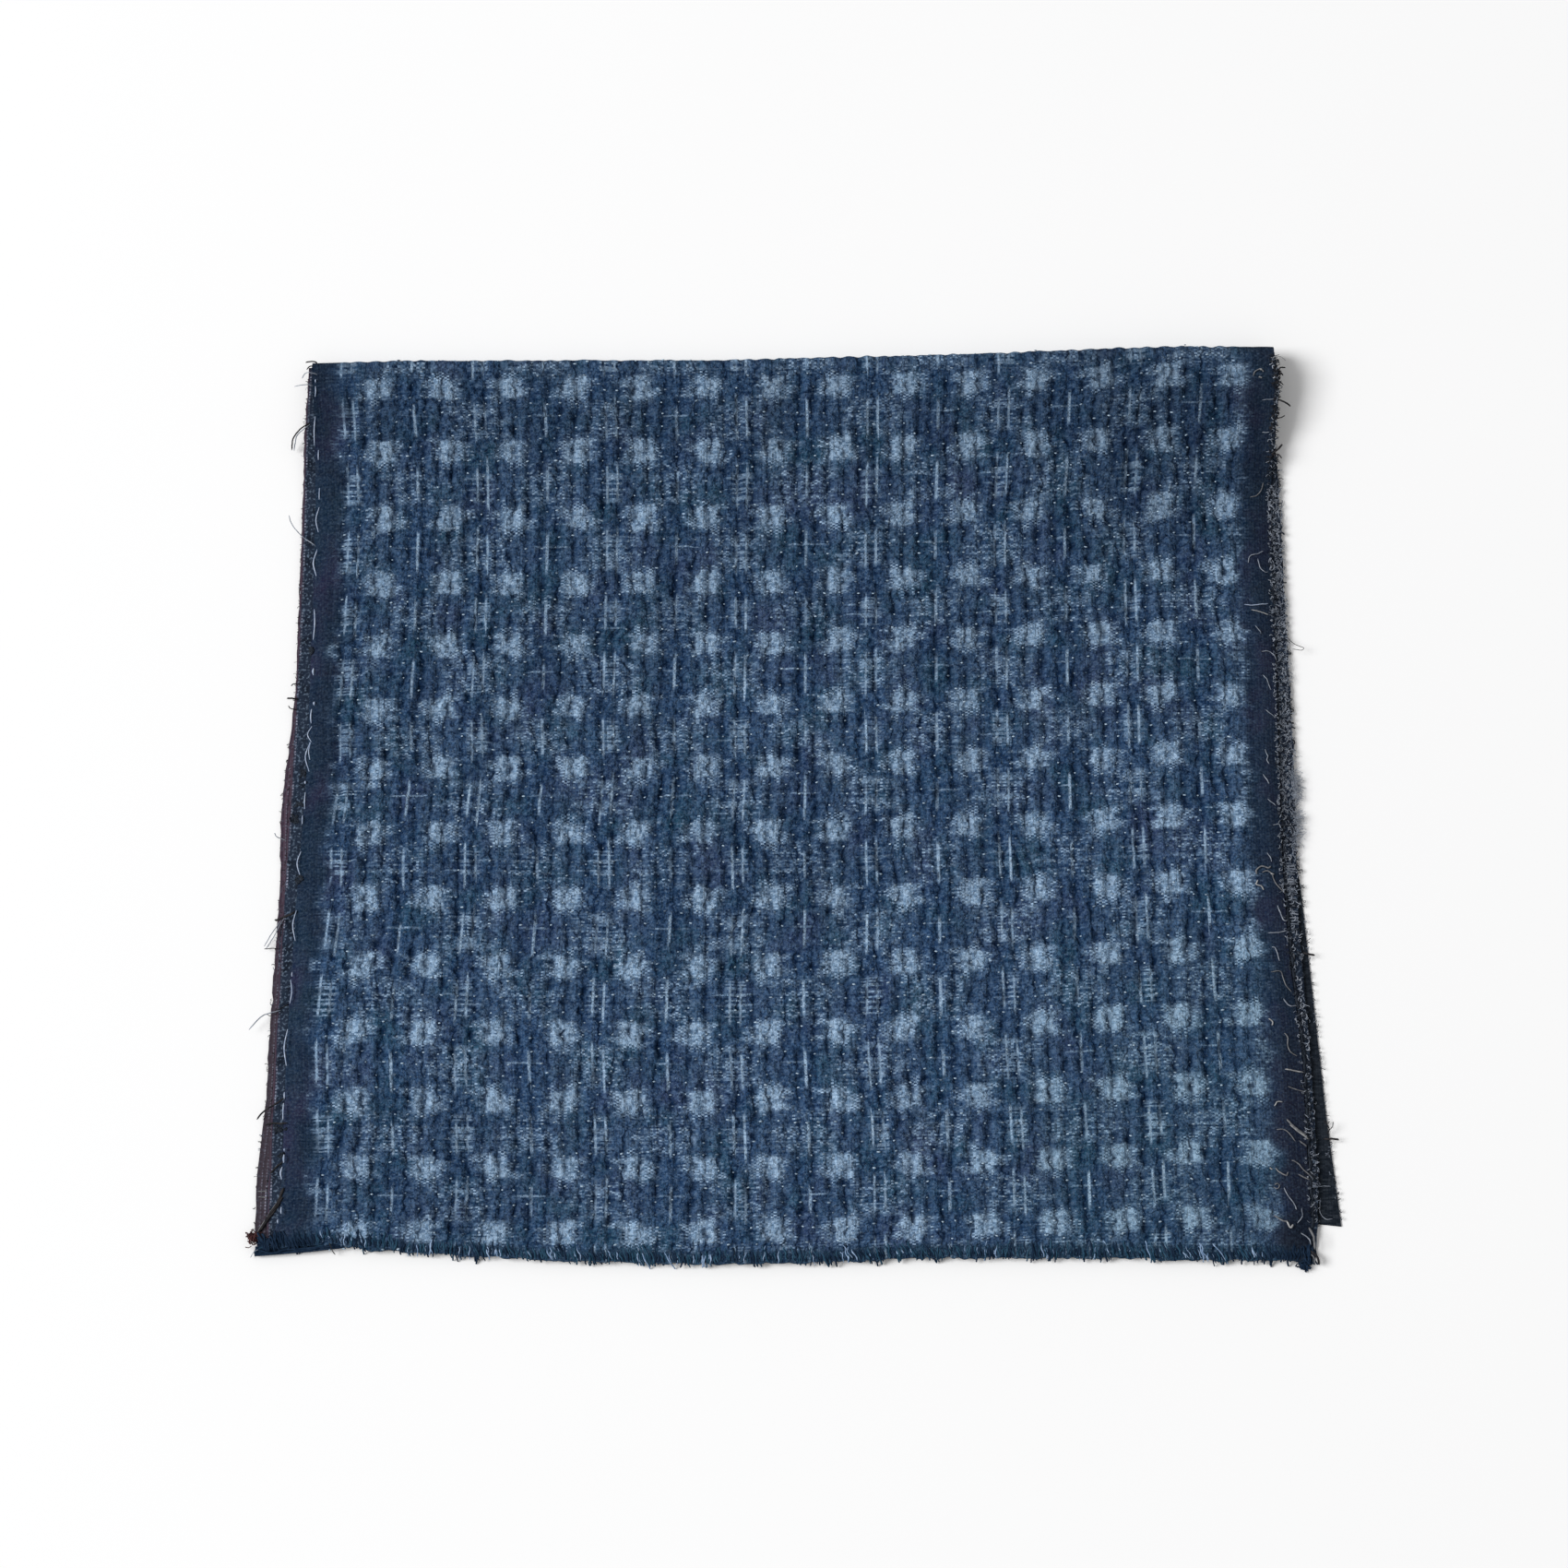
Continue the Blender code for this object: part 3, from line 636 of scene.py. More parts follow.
def make_backing(material):
    """The backing cloth, seen along the left edge and along the right edge."""
    mesh, share, row, outside = flat_slab(BACKING_COLUMNS, sum(BACKING_STEPS))
    across, run = ply_places(share, row, BACKING_STEPS, BACKING_UPPER_EDGES, BACKING_LOWER_EDGES,
                             BACKING_UPPER_CUT, BACKING_LOWER_CUT, BACKING_RAGGED)
    lift = np.where(outside, BACKING_OUTER, BACKING_INNER)
    places = cloth_place(across, run, lift)
    keep_map = mesh.verts.layers.float_vector.new("flat_place")
    way = np.maximum(np.abs(run) - loop_quarter(across), 0.0)
    left = np.where(run > 0, both_edges(BACKING_UPPER_EDGES, way)[0],
                    both_edges(BACKING_LOWER_EDGES, way)[0])
    for corner, place, from_edge, flat_run in zip(mesh.verts, places, across - left, run):
        corner.co = place
        corner[keep_map] = (from_edge, flat_run, 0.0)
    piece = finish_mesh("backing_sheet", mesh, material)
    lay_flat_map(piece.data, "edge", "flat_place")
    return piece


def make_stitches(stitches, relief, low, material):
    """The small quilting stitches, each a short plump dash in its dimple."""
    dash = bmesh.new()
    bmesh.ops.create_icosphere(dash, subdivisions=1, radius=0.5)
    dash_data = bpy.data.meshes.new("dash")
    dash.to_mesh(dash_data)
    corners = len(dash.verts)
    dash.free()
    mesh = bmesh.new()
    for _ in stitches:
        mesh.from_mesh(dash_data)
    bpy.data.meshes.remove(dash_data)
    across, run, turn, size, shade, _ = stitches.T
    height = read_relief(relief, low, across, run)
    middle = cloth_place(across, run, FACE_OUTER + height + STITCH_LIFT)
    along = cloth_place(across, run + 0.0005, FACE_OUTER + height + STITCH_LIFT) - middle
    keep_shade = mesh.verts.layers.float.new("shade")
    for number, corner in enumerate(mesh.verts):
        which = number // corners
        spot = corner.co.copy()
        spot.x *= STITCH_LENGTH * size[which]
        spot.y *= STITCH_WIDTH
        spot.z *= STITCH_WIDTH * 0.7
        cos, sin = math.cos(turn[which]), math.sin(turn[which])
        way = Vector(along[which]).normalized()
        side = Vector((1.0, 0.0, 0.0))
        up = way.cross(side).normalized() * -1.0
        if run[which] > 0.004 and up.z < 0:
            up = -up
        place = side * (spot.x * cos - spot.y * sin) + way * (spot.x * sin + spot.y * cos) + up * spot.z
        corner.co = Vector(middle[which]) + place
        corner[keep_shade] = shade[which]
    return finish_mesh("quilting_stitches", mesh, material, smooth=180.0)


def cloth_top(across, y):
    """Height of the topmost cloth at one place, from its own edges."""
    quarter = float(loop_quarter(across))
    way = max(float(fold_shape(across)[0]) - y, 0.0)
    for edges, lift in ((FACE_UPPER_EDGES, FACE_OUTER), (BACKING_UPPER_EDGES, BACKING_OUTER)):
        left, right = both_edges(edges, way)
        if left <= across <= right:
            return float(cloth_place(np.array([across]), np.array([quarter + way]), lift)[0, 2])
    left, right = both_edges(BACKING_LOWER_EDGES, way)
    level = LOWER_LEVEL - (BACKING_INNER if left <= across <= right else FACE_INNER)
    return float(level * pressed(across, way))


def smooth_path(points, steps=5):
    """A smooth line through some points."""
    points = np.array(points, dtype=float)
    ends = np.concatenate([2 * points[:1] - points[1:2], points, 2 * points[-1:] - points[-2:-1]])
    share = np.arange(steps)[:, None] / steps
    spots = []
    for first, start, stop, last in zip(ends, ends[1:], ends[2:], ends[3:]):
        spots.append(0.5 * (2 * start + (stop - first) * share + (2 * first - 5 * start + 4 * stop - last)
                            * share**2 + (3 * start - first - 3 * stop + last) * share**3))
    return np.concatenate(spots + [points[-1:]])


def make_threads(name, lines, material, sides=1):
    """Many threads as one curve. A line is its points and its thickness along them."""
    data = bpy.data.curves.new(name, "CURVE")
    data.dimensions = "3D"
    data.bevel_depth = 0.5
    data.bevel_resolution = sides
    data.use_fill_caps = True
    for points, thick in lines:
        spline = data.splines.new("POLY")
        spline.points.add(len(points) - 1)
        corners = np.concatenate([points + SHIFT, np.ones((len(points), 1))], axis=1)
        spline.points.foreach_set("co", corners.ravel())
        spline.points.foreach_set("radius", np.broadcast_to(thick, len(points)).astype(float))
        spline.use_smooth = True
    data.materials.append(material)
    piece = place_object(name, data)
    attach(piece, "root")
    return piece


def placed_threads():
    """The threads that are placed one by one, grouped by tone."""
    groups = {}
    draw = np.random.RandomState(5)
    for stitch in RUNNING_STITCHES:
        middle = (stitch.start + stitch.end) / 2
        flat = ((stitch.at, stitch.start), (stitch.at - stitch.bow, middle), (stitch.at, stitch.end))
        points = smooth_path([(x / 1000, y / 1000, 0.0) for x, y in flat], 4)
        rise = np.sin(np.linspace(0.0, math.pi, len(points)))
        points[:, 2] = [cloth_top(max(x, -0.1700), y) for x, y, _ in points]
        points[:, 2] += stitch.thick / 1000 * (0.9 * rise - 0.15)
        groups.setdefault("pale", []).append((points, stitch.thick / 1000 * (0.6 + 0.4 * rise)))
    for tone, thick, tip, *path in THREADS:
        points = smooth_path([(x / 1000, y / 1000, 0.0) for x, y in path])
        share = np.linspace(0.0, 1.0, len(points))
        points[:, :2] += np.cumsum(draw.normal(0.0, 0.00005, (len(points), 2)), axis=0)
        top = np.array([cloth_top(x, y) for x, y, _ in points]) + thick * THREAD_CORE / 2200
        if tip:
            start = max(top[0], 0.0020)
            height = start + (tip / 1000 - start) * share**1.5 + 0.0008 * np.sin(math.pi * share)
            points[:, 2] = np.maximum(height, np.minimum(top, start + 0.001) * (share < 0.35))
        else:
            smooth = np.convolve(np.pad(top, 2, mode="edge"), np.ones(5) / 5, mode="valid")
            points[:, 2] = np.maximum(smooth, top) + 0.0003 * np.abs(np.sin(5 * share + draw.rand() * 6))
        taper = np.clip(np.minimum(share, 1 - share) * 8 + 0.45, 0.0, 1.0)
        groups.setdefault(tone, []).append((points, thick * THREAD_CORE / 1000 * taper))
    return groups


def curly_fibre(draw, start, heading, length, curl, lift, bend=0.0):
    """A fine fibre from a starting place, wandering or bending as it goes."""
    steps = 6
    points = [np.array(start)]
    turn = heading
    for step in range(steps):
        turn += bend + draw.normal(0.0, curl)
        move = np.array([math.cos(turn), math.sin(turn), 0.0]) * length / steps
        move[2] = lift * math.cos(math.pi * step / steps) / steps + draw.normal(0.0, length * 0.02)
        points.append(points[-1] + move)
    return np.array(points)


def right_edge(rows, y):
    """Where a table's right edge is, level with y."""
    return read_table(rows, "right", FOLD_LINE - y)


# The strip of ravelled threads at the right edge changes on its way down
GAPE_START = 0.118
SPARSE_BELOW = -0.030
SOOTY_BELOW = -0.085
GAPE_CLUMPS = ((0.1550, 0.0034), (0.1425, 0.0012), (0.1385, 0.0012), (0.1270, 0.0018))
GAPE_CLUMP_SHARES = (0.58, 0.10, 0.14, 0.18)
TUFT_MIDDLES = (-0.0065, 0.0070)
LOOP_THICKNESS = 0.00048


def ravel_strip(draw, groups):
    """Short fibres all along the strip, fewer low down and darker beside the gaping fold."""
    for number in range(4600):
        y = draw.uniform(-0.1450, 0.1635)
        if y < SPARSE_BELOW and draw.rand() < 0.75:
            continue
        inner = right_edge(FACE_UPPER_EDGES, y)
        outer = max(right_edge(BACKING_UPPER_EDGES, y), inner)
        gaping = y > GAPE_START
        if gaping and draw.rand() < 0.35:
            continue
        across = draw.uniform(inner - (0.0012 if gaping else 0.0008), outer + 0.0003)
        coarse = number % (9 if y > 0.0 else 4) == 0
        if coarse or gaping and draw.rand() < 0.75:
            tone = "soot"
        else:
            shares = [0.14, 0.32, 0.54] if y > 0.0 else [0.14, 0.30, 0.56]
            tone = draw.choice(["soot", "fluff", "grey"], p=shares)
        heading = draw.uniform(-3.1, 3.1)
        length = draw.uniform(0.0010, 0.0024)
        thick = draw.uniform(0.00034, 0.00060) if coarse else draw.uniform(0.00016, 0.00028)
        bend = 0.0 if draw.rand() < 0.4 else draw.choice([-1.0, 1.0]) * draw.uniform(0.6, 1.1)
        top = cloth_top(across, y)
        lift = 0.0004 if coarse else 0.0010
        fibre = curly_fibre(draw, (across, y, top + 0.0001), heading, length, 0.5, lift, bend)
        fibre[:, 0] = np.minimum(fibre[:, 0], outer + (0.0026 if gaping else 0.0011))
        fibre[:, 2] = np.maximum(fibre[:, 2], min(top, 0.0115))
        groups[tone].append((fibre, thick))


def overcast_strip(draw, groups):
    """Overcast loops across the strip in clumps, the dark cord beside the face, and thread rings."""
    share = np.linspace(0.0, 1.0, 7)
    y = -0.020
    while y > -0.1330:
        inner = right_edge(FACE_UPPER_EDGES, y) + 0.0003
        outer = min(right_edge(BACKING_UPPER_EDGES, y), inner + 0.0040)
        along = y + draw.normal(0, 0.0002) - 0.0006 * share * draw.uniform(-0.5, 1.5)
        height = cloth_top(float(outer), y) + 0.0008 * np.sin(math.pi * (0.1 + 0.8 * share))
        loop = np.stack([inner + (outer - inner) * share, along, height], axis=1)
        clump = math.sin(y * 420.0) + 0.7 * math.sin(y * 1130.0)
        clump += 0.3 if y > SOOTY_BELOW else -1.3
        tone = "grey" if clump + draw.normal(0, 0.5) > 0.75 else ("fluff" if clump > -0.5 else "soot")
        groups[tone].append((loop, LOOP_THICKNESS))
        y -= draw.uniform(0.0007, 0.0012)
    y = 0.0600
    while y > -0.1440:
        marks = np.linspace(y, y - 0.0034, 5)
        inner = right_edge(FACE_UPPER_EDGES, marks)
        height = [cloth_top(max(spot + 0.0004, 0.0), mark) + 0.0004 for spot, mark in zip(inner, marks)]
        cord = np.stack([inner + 0.0005 + draw.normal(0, 0.0002, 5), marks, height], axis=1)
        thick = draw.uniform(0.0004, 0.0008) if y > SPARSE_BELOW else draw.uniform(0.0010, 0.0015)
        groups["soot"].append((cord, thick))
        y -= draw.uniform(0.0026, 0.0044)
    y = -0.0190
    while y > -0.1400:
        middle = right_edge(FACE_UPPER_EDGES, y) + draw.uniform(0.0006, 0.0026)
        turn = np.linspace(0.0, draw.uniform(4.6, 6.6), 11) + draw.uniform(0.0, 6.0)
        size = draw.uniform(0.00055, 0.00095)
        ring = np.stack([middle + size * np.cos(turn), y + 1.2 * size * np.sin(turn),
                         cloth_top(middle, y) + 0.0003 + 0.0003 * np.sin(turn * 1.5)], axis=1)
        shares = [0.78, 0.18, 0.04] if y > SOOTY_BELOW else [0.10, 0.20, 0.70]
        tone = draw.choice(["grey", "fluff", "soot"], p=shares)
        groups[tone].append((ring, draw.uniform(0.00026, 0.00042)))
        y -= draw.uniform(0.0011, 0.0032)


def right_fray():
    """Ravelled fibres and overcast loops along the strip at the right edge."""
    draw = np.random.RandomState(8)
    groups = {"soot": [], "fluff": [], "grey": [], "dark": []}
    ravel_strip(draw, groups)
    overcast_strip(draw, groups)
    # The frayed right edge of the lower half
    for _ in range(260):
        y = draw.uniform(-0.1430, 0.0300)
        edge = right_edge(FACE_LOWER_EDGES, y)
        fibre = curly_fibre(draw, (edge - draw.uniform(0.0, 0.0008), y, 0.0011), draw.normal(0.0, 1.1),
                            draw.uniform(0.0006, 0.0018), 0.7, 0.0003)
        groups["soot" if draw.rand() < 0.8 else "fluff"].append((fibre, draw.uniform(0.00014, 0.00030)))
    # Clumps of dark loops beside the gaping end of the fold
    for _ in range(240):
        middle, spread = GAPE_CLUMPS[draw.choice(4, p=GAPE_CLUMP_SHARES)]
        y = min(middle + draw.normal(0.0, spread), 0.1610)
        inner = right_edge(FACE_UPPER_EDGES, y)
        start = (inner + draw.uniform(-0.0016, 0.0002), y,
                 cloth_top(inner - 0.0004, y) + draw.uniform(-0.0014, 0.0005))
        fibre = curly_fibre(draw, start, draw.uniform(-3.1, 3.1), draw.uniform(0.0010, 0.0022), 0.5,
                            0.0003, draw.choice([-0.9, -0.4, 0.4, 0.9]))
        groups["grey" if draw.rand() < 0.10 else "dark"].append((fibre, draw.uniform(0.00022, 0.00042)))
    # Fine grey fibres that stand out to the right in two places
    for _ in range(240):
        y = draw.choice(TUFT_MIDDLES) + draw.normal(0.0, 0.0032)
        outer = right_edge(BACKING_UPPER_EDGES, y)
        start = (outer - draw.uniform(0.0, 0.0012), y, draw.uniform(0.0006, 0.0028))
        fibre = curly_fibre(draw, start, draw.normal(0.3, 0.5), draw.uniform(0.0020, 0.0046), 0.35, 0.0)
        groups["grey"].append((fibre, draw.uniform(0.00008, 0.00014)))
    return groups


def left_fray():
    """Short dark fibres along the left edges of the plies."""
    draw = np.random.RandomState(9)
    groups = {"dark": [], "grey": [], "soot": []}
    for _ in range(420):
        y = draw.uniform(-0.1500, 0.1610)
        edges = BACKING_LOWER_EDGES if draw.rand() < 0.45 and y < 0.06 else BACKING_UPPER_EDGES
        edge = read_table(edges, "left", FOLD_LINE - y)
        top = cloth_top(edge + 0.0002, y)
        heading = math.pi + draw.normal(0.0, 1.1)
        fibre = curly_fibre(draw, (edge + draw.uniform(0.0, 0.0006), y, top - 0.0003), heading,
                            draw.uniform(0.0006, 0.0016), 0.7, 0.0004)
        groups["dark" if draw.rand() < 0.85 else "grey"].append((fibre, draw.uniform(0.00012, 0.00026)))
    # Knots of the whip thread
    for across, y, size in KNOTS:
        for _ in range(22):
            spot = np.array([across, y]) / 1000 + draw.normal(0.0, size / 2200, 2)
            start = (*spot, cloth_top(*spot) + draw.uniform(0.0, 0.0005))
            fibre = curly_fibre(draw, start, draw.uniform(-3.1, 3.1), size / 900, 0.3, 0.0002, 0.9)
            groups["soot"].append((fibre, draw.uniform(0.0004, 0.0007)))
    return groups


def bottom_fringe():
    """Ends of the warp yarns that hang over the cut edge, and its rolled left corner."""
    draw = np.random.RandomState(10)
    groups = {"indigo": [], "blue": [], "navy": []}
    first, last = BLOB_ROWS[-1].first, BLOB_ROWS[-1].last
    share = np.linspace(0.0, 1.0, 8)
    across = -0.1815
    while across < 0.1724:
        near = read_table(FACE_UPPER_CUT, "near", across)
        column = (across - first) / (last - first) * (BLOB_COLUMNS - 1)
        off_blob = abs(column - round(column))
        lean = draw.normal(0.22, 0.18) + 0.20 * math.sin(across * 60)
        length = draw.uniform(0.0030, 0.0060)
        over = draw.uniform(-0.0010, 0.0004) if draw.rand() < 0.92 else draw.uniform(0.0003, 0.0014)
        over += (0.0006 * math.sin(across * 330) + 0.0005 * math.sin(across * 810 + 1.0)
                 + 0.0003 * math.sin(across * 96))
        reach = length + over
        y = near + length - reach * share
        held = np.full(8, min(max(across, -0.172), 0.170))
        run = loop_quarter(held) + fold_shape(held)[0] - np.maximum(y, near)
        top = cloth_place(held, run, FACE_OUTER)[:, 2]
        beyond = np.clip((near + 0.0006 - y) / 0.0024, 0.0, 1.0)
        z = top + (0.0005 * np.sin(math.pi * share * 0.9) + draw.uniform(-0.0001, 0.0003)) * (1 - beyond)
        z = np.maximum(z - top * beyond**1.4, 0.0003)
        x = across + lean * reach * share + 0.0002 * np.sin(9 * share + draw.rand() * 6)
        inside = QUILTED_LEFT < across < QUILTED_RIGHT
        pale_share = (0.26 if off_blob < 0.20 else 0.06) * (1.3 if across < -0.06 else 0.9)
        pale = inside and draw.rand() < pale_share
        tone = "blue" if pale else ("indigo" if inside and draw.rand() < 0.45 else "navy")
        thick = draw.uniform(0.0003, 0.0006) if pale else draw.uniform(0.0005, 0.0009)
        taper = np.clip(1.2 - share * 0.5, 0.4, 1.0)
        groups[tone].append((np.stack([x, y, z], axis=1), thick * taper))
        across += draw.uniform(0.00026, 0.00052)
    for _ in range(34):
        start = np.array([-0.1730 + draw.uniform(0.0, 0.022), -0.1517 + draw.normal(0, 0.0006), 0.0026])
        end = np.array([-0.1816 + draw.normal(0, 0.0006), -0.1532 + draw.normal(0, 0.0010),
                        draw.uniform(0.0006, 0.0020)])
        middle = (start + end) / 2 + np.array([0.0, draw.normal(0, 0.0006), draw.uniform(0.0, 0.0008)])
        tone = "indigo" if draw.rand() < 0.15 else "navy"
        groups[tone].append((smooth_path((start, middle, end), 4), draw.uniform(0.0005, 0.0010)))
    return groups


def tufts():
    """The reddish tuft at the lower left corner and the blue knob at the lower right."""
    draw = np.random.RandomState(12)
    groups = {"red": [], "navy": []}
    for _ in range(80):
        start = (-0.1830 + draw.normal(0, 0.0008), -0.1490 + draw.normal(0, 0.0008),
                 draw.uniform(0.0012, 0.0030))
        fibre = curly_fibre(draw, start, draw.uniform(1.6, 5.4), draw.uniform(0.0012, 0.0024),
                            0.9, 0.0006)
        groups["red"].append((fibre, draw.uniform(0.00025, 0.00050)))
    for _ in range(60):
        start = (0.1700 + draw.normal(0, 0.0009), -0.1580 + draw.normal(0, 0.0008),
                 draw.uniform(0.0008, 0.0024))
        fibre = curly_fibre(draw, start, draw.uniform(-2.6, -0.4), draw.uniform(0.0010, 0.0022),
                            0.8, -0.0004)
        groups["navy"].append((fibre, draw.uniform(0.0004, 0.0008)))
    return groups


def set_inputs(node, **values):
    """Set a node's inputs by their names, with a low line for each space."""
    for name, value in values.items():
        node.inputs[name.replace("_", " ")].default_value = value


class Amount:
    """A number that a material works out at each point of a surface."""

    def __init__(self, tree, socket):
        self.tree = tree
        self.socket = socket

    def step(self, operation, *others, clamp=False):
        node = self.tree.nodes.new("ShaderNodeMath")
        node.operation = operation
        node.use_clamp = clamp
        self.tree.links.new(self.socket, node.inputs[0])
        for place, other in enumerate(others, start=1):
            if isinstance(other, Amount):
                self.tree.links.new(other.socket, node.inputs[place])
            else:
                node.inputs[place].default_value = other
        return Amount(self.tree, node.outputs[0])

    def __add__(self, other):
        return self.step("ADD", other)

    def __sub__(self, other):
        return self.step("SUBTRACT", other)

    def __mul__(self, other):
        return self.step("MULTIPLY", other)

    def __truediv__(self, other):
        return self.step("DIVIDE", other)

    def floor(self):
        return self.step("FLOOR")

    def size(self):
        return self.step("ABSOLUTE")

    def most(self, other):
        return self.step("MAXIMUM", other)

    def from_nearest(self, pitch, first=0.0):
        """Distance from the nearest of a row of marks."""
        moved = self - first if first else self
        return moved.step("WRAP", pitch / 2, -pitch / 2).size()

    def under(self, limit, soft):
        """1 well under the limit and 0 well over it, softly between."""
        node = self.tree.nodes.new("ShaderNodeMapRange")
        node.interpolation_type = "SMOOTHSTEP"
        self.tree.links.new(self.socket, node.inputs["Value"])
        set_inputs(node, From_Min=limit - soft, From_Max=limit + soft, To_Min=1.0, To_Max=0.0)
        return Amount(self.tree, node.outputs[0])

    def over(self, limit, soft):
        """1 well over the limit and 0 well under it, softly between."""
        return (self * -1.0 + limit).under(0.0, soft)

    def past(self, start, gain):
        """How far it is past the start, times a gain, held between 0 and 1."""
        return (self - start).step("MULTIPLY", gain, clamp=True)

    def held(self):
        """Held between 0 and 1."""
        return self.step("MULTIPLY", 1.0, clamp=True)

    def swing(self, width):
        """A chance or a cloud made a swing to both sides of nothing."""
        return (self - 0.5) * width

    def less(self, share):
        """What is left of 1 without a share of it."""
        return self * -share + 1.0

    def blend(self, first, second):
        """The first colour at 0 and the second at 1. Each is a socket or three numbers."""
        node = self.tree.nodes.new("ShaderNodeMix")
        node.data_type = "RGBA"
        self.tree.links.new(self.socket, node.inputs["Factor"])
        for name, colour in (("A", first), ("B", second)):
            socket = [item for item in node.inputs if item.name == name and item.type == "RGBA"][0]
            if isinstance(colour, tuple):
                socket.default_value = (*colour, 1.0)
            else:
                self.tree.links.new(colour, socket)
        return [item for item in node.outputs if item.type == "RGBA"][0]


def chance(tree, *parts):
    """A random number from 0 to 1 for each whole value of one or two amounts."""
    node = tree.nodes.new("ShaderNodeTexWhiteNoise")
    if len(parts) == 1:
        node.noise_dimensions = "1D"
        tree.links.new(parts[0].socket, node.inputs["W"])
    else:
        node.noise_dimensions = "2D"
        join = tree.nodes.new("ShaderNodeCombineXYZ")
        for place, part in enumerate(parts):
            tree.links.new(part.socket, join.inputs[place])
        tree.links.new(join.outputs[0], node.inputs["Vector"])
    return Amount(tree, node.outputs["Value"])


def clouds(tree, vector, scale, detail=2.0, stretch=(1.0, 1.0, 1.0)):
    """A cloudy value around a half, of bumps one over scale wide."""
    mapping = tree.nodes.new("ShaderNodeMapping")
    set_inputs(mapping, Scale=stretch)
    tree.links.new(vector, mapping.inputs["Vector"])
    node = tree.nodes.new("ShaderNodeTexNoise")
    set_inputs(node, Scale=scale, Detail=detail)
    tree.links.new(mapping.outputs[0], node.inputs["Vector"])
    return Amount(tree, node.outputs["Fac"])


def wash(colour, *dyes):
    """Lay dyes over a colour, one after the other, each with its share."""
    for share, dye in dyes:
        colour = share.blend(colour, dye)
    return colour


COTTON_GLOSS = 0.03


def new_material(name, roughness):
    """A material with a plain shader, and its tree and shader."""
    material = bpy.data.materials.new(name)
    material.use_nodes = True
    tree = material.node_tree
    shader = tree.nodes["Principled BSDF"]
    set_inputs(shader, Roughness=roughness, Specular_IOR_Level=COTTON_GLOSS)
    return material, tree, shader


def flat_map(tree, name):
    """The across and run of the flat cut at each point, and both as one vector."""
    node = tree.nodes.new("ShaderNodeUVMap")
    node.uv_map = name
    parts = tree.nodes.new("ShaderNodeSeparateXYZ")
    tree.links.new(node.outputs[0], parts.inputs[0])
    return Amount(tree, parts.outputs[0]), Amount(tree, parts.outputs[1]), node.outputs[0]


def attribute(tree, name):
    """A value kept at the corners of a mesh."""
    node = tree.nodes.new("ShaderNodeAttribute")
    node.attribute_name = name
    return Amount(tree, node.outputs["Fac"])


def round_spot(across, run, middle_across, middle_run, radius):
    """One in the middle of a round place on the cloth, and nothing past its radius."""
    side = ((across - middle_across) / radius).step("POWER", 2.0)
    way = ((run - middle_run) / radius).step("POWER", 2.0)
    return (side + way).under(0.55, 0.45)


# Dyes: each pair is the darkest yarn and the lightest
WARP_INDIGO = ((0.008, 0.033, 0.096), (0.029, 0.076, 0.170))
WEFT_INDIGO = ((0.010, 0.038, 0.106), (0.068, 0.140, 0.272))
MARGIN_NAVY = ((0.006, 0.014, 0.032), (0.019, 0.034, 0.065))
# The raw end's rim: plain navy darkened with painted shade
RIM_NAVY_AND_SHADE = ((0.004, 0.015, 0.036), (0.022, 0.056, 0.098))
RESIST_LIGHT = ((0.195, 0.325, 0.500), (0.435, 0.605, 0.810))
REVERSE_DARK = ((0.009, 0.013, 0.020), (0.028, 0.035, 0.046))
TEAL = (0.018, 0.084, 0.124)
PLUM = (0.046, 0.053, 0.132)
PALE_MOTTLE = (0.098, 0.170, 0.290)
DEEP_MOTTLE = (0.004, 0.019, 0.062)
STRAY_LIGHT = (0.180, 0.275, 0.420)
MARGIN_RUST = (0.015, 0.016, 0.026)
MARGIN_PLUM = (0.030, 0.023, 0.058)
MARGIN_TEAL = (0.008, 0.034, 0.052)
MARGIN_STRAY = (0.140, 0.210, 0.320)
RIGHT_MARGIN = (0.022, 0.026, 0.040)
LOW_RIGHT_MARGIN = (0.018, 0.017, 0.031)
GREYED_GROUND = (0.020, 0.058, 0.090)
GREYED_LIGHT = (0.270, 0.425, 0.540)
FINE_LINE = (0.440, 0.580, 0.720)
LINT = (0.165, 0.240, 0.345)
BETWEEN_LINT = (0.002, 0.017, 0.060)
DARK_CORNER = (0.010, 0.014, 0.024)
# Painted shade for the creases and low places of the quilting
CREASE_SHADE = (0.002, 0.011, 0.038)
# Paler crest specks: partly wear, partly painted highlight
WEAR_AND_CREST_HIGHLIGHT = (0.140, 0.220, 0.330)
BLACK = (0.0, 0.0, 0.0)

# Places on the cloth that differ from the rest: across, run and radius, on the repeat
LOW_RIGHT_BLOBS = (0.3050, 0.3000, 0.0300)
LOW_RIGHT_EDGE = (0.3200, 0.2900, 0.0600)
GREYED_SIDE = (0.3000, 0.2900, 0.1100)
CORNER = (0.3164, 0.3120, 0.0135)
# Two round places where the cloth is darker, near the top right and low at the left
DARKER_TOP_RIGHT = (0.275, 0.018, 0.062)
DARKER_LOW_LEFT = (0.015, 0.300, 0.062)

# The share of a crossing's colour that the yarn on top gives
OVER_SHARE = 0.78


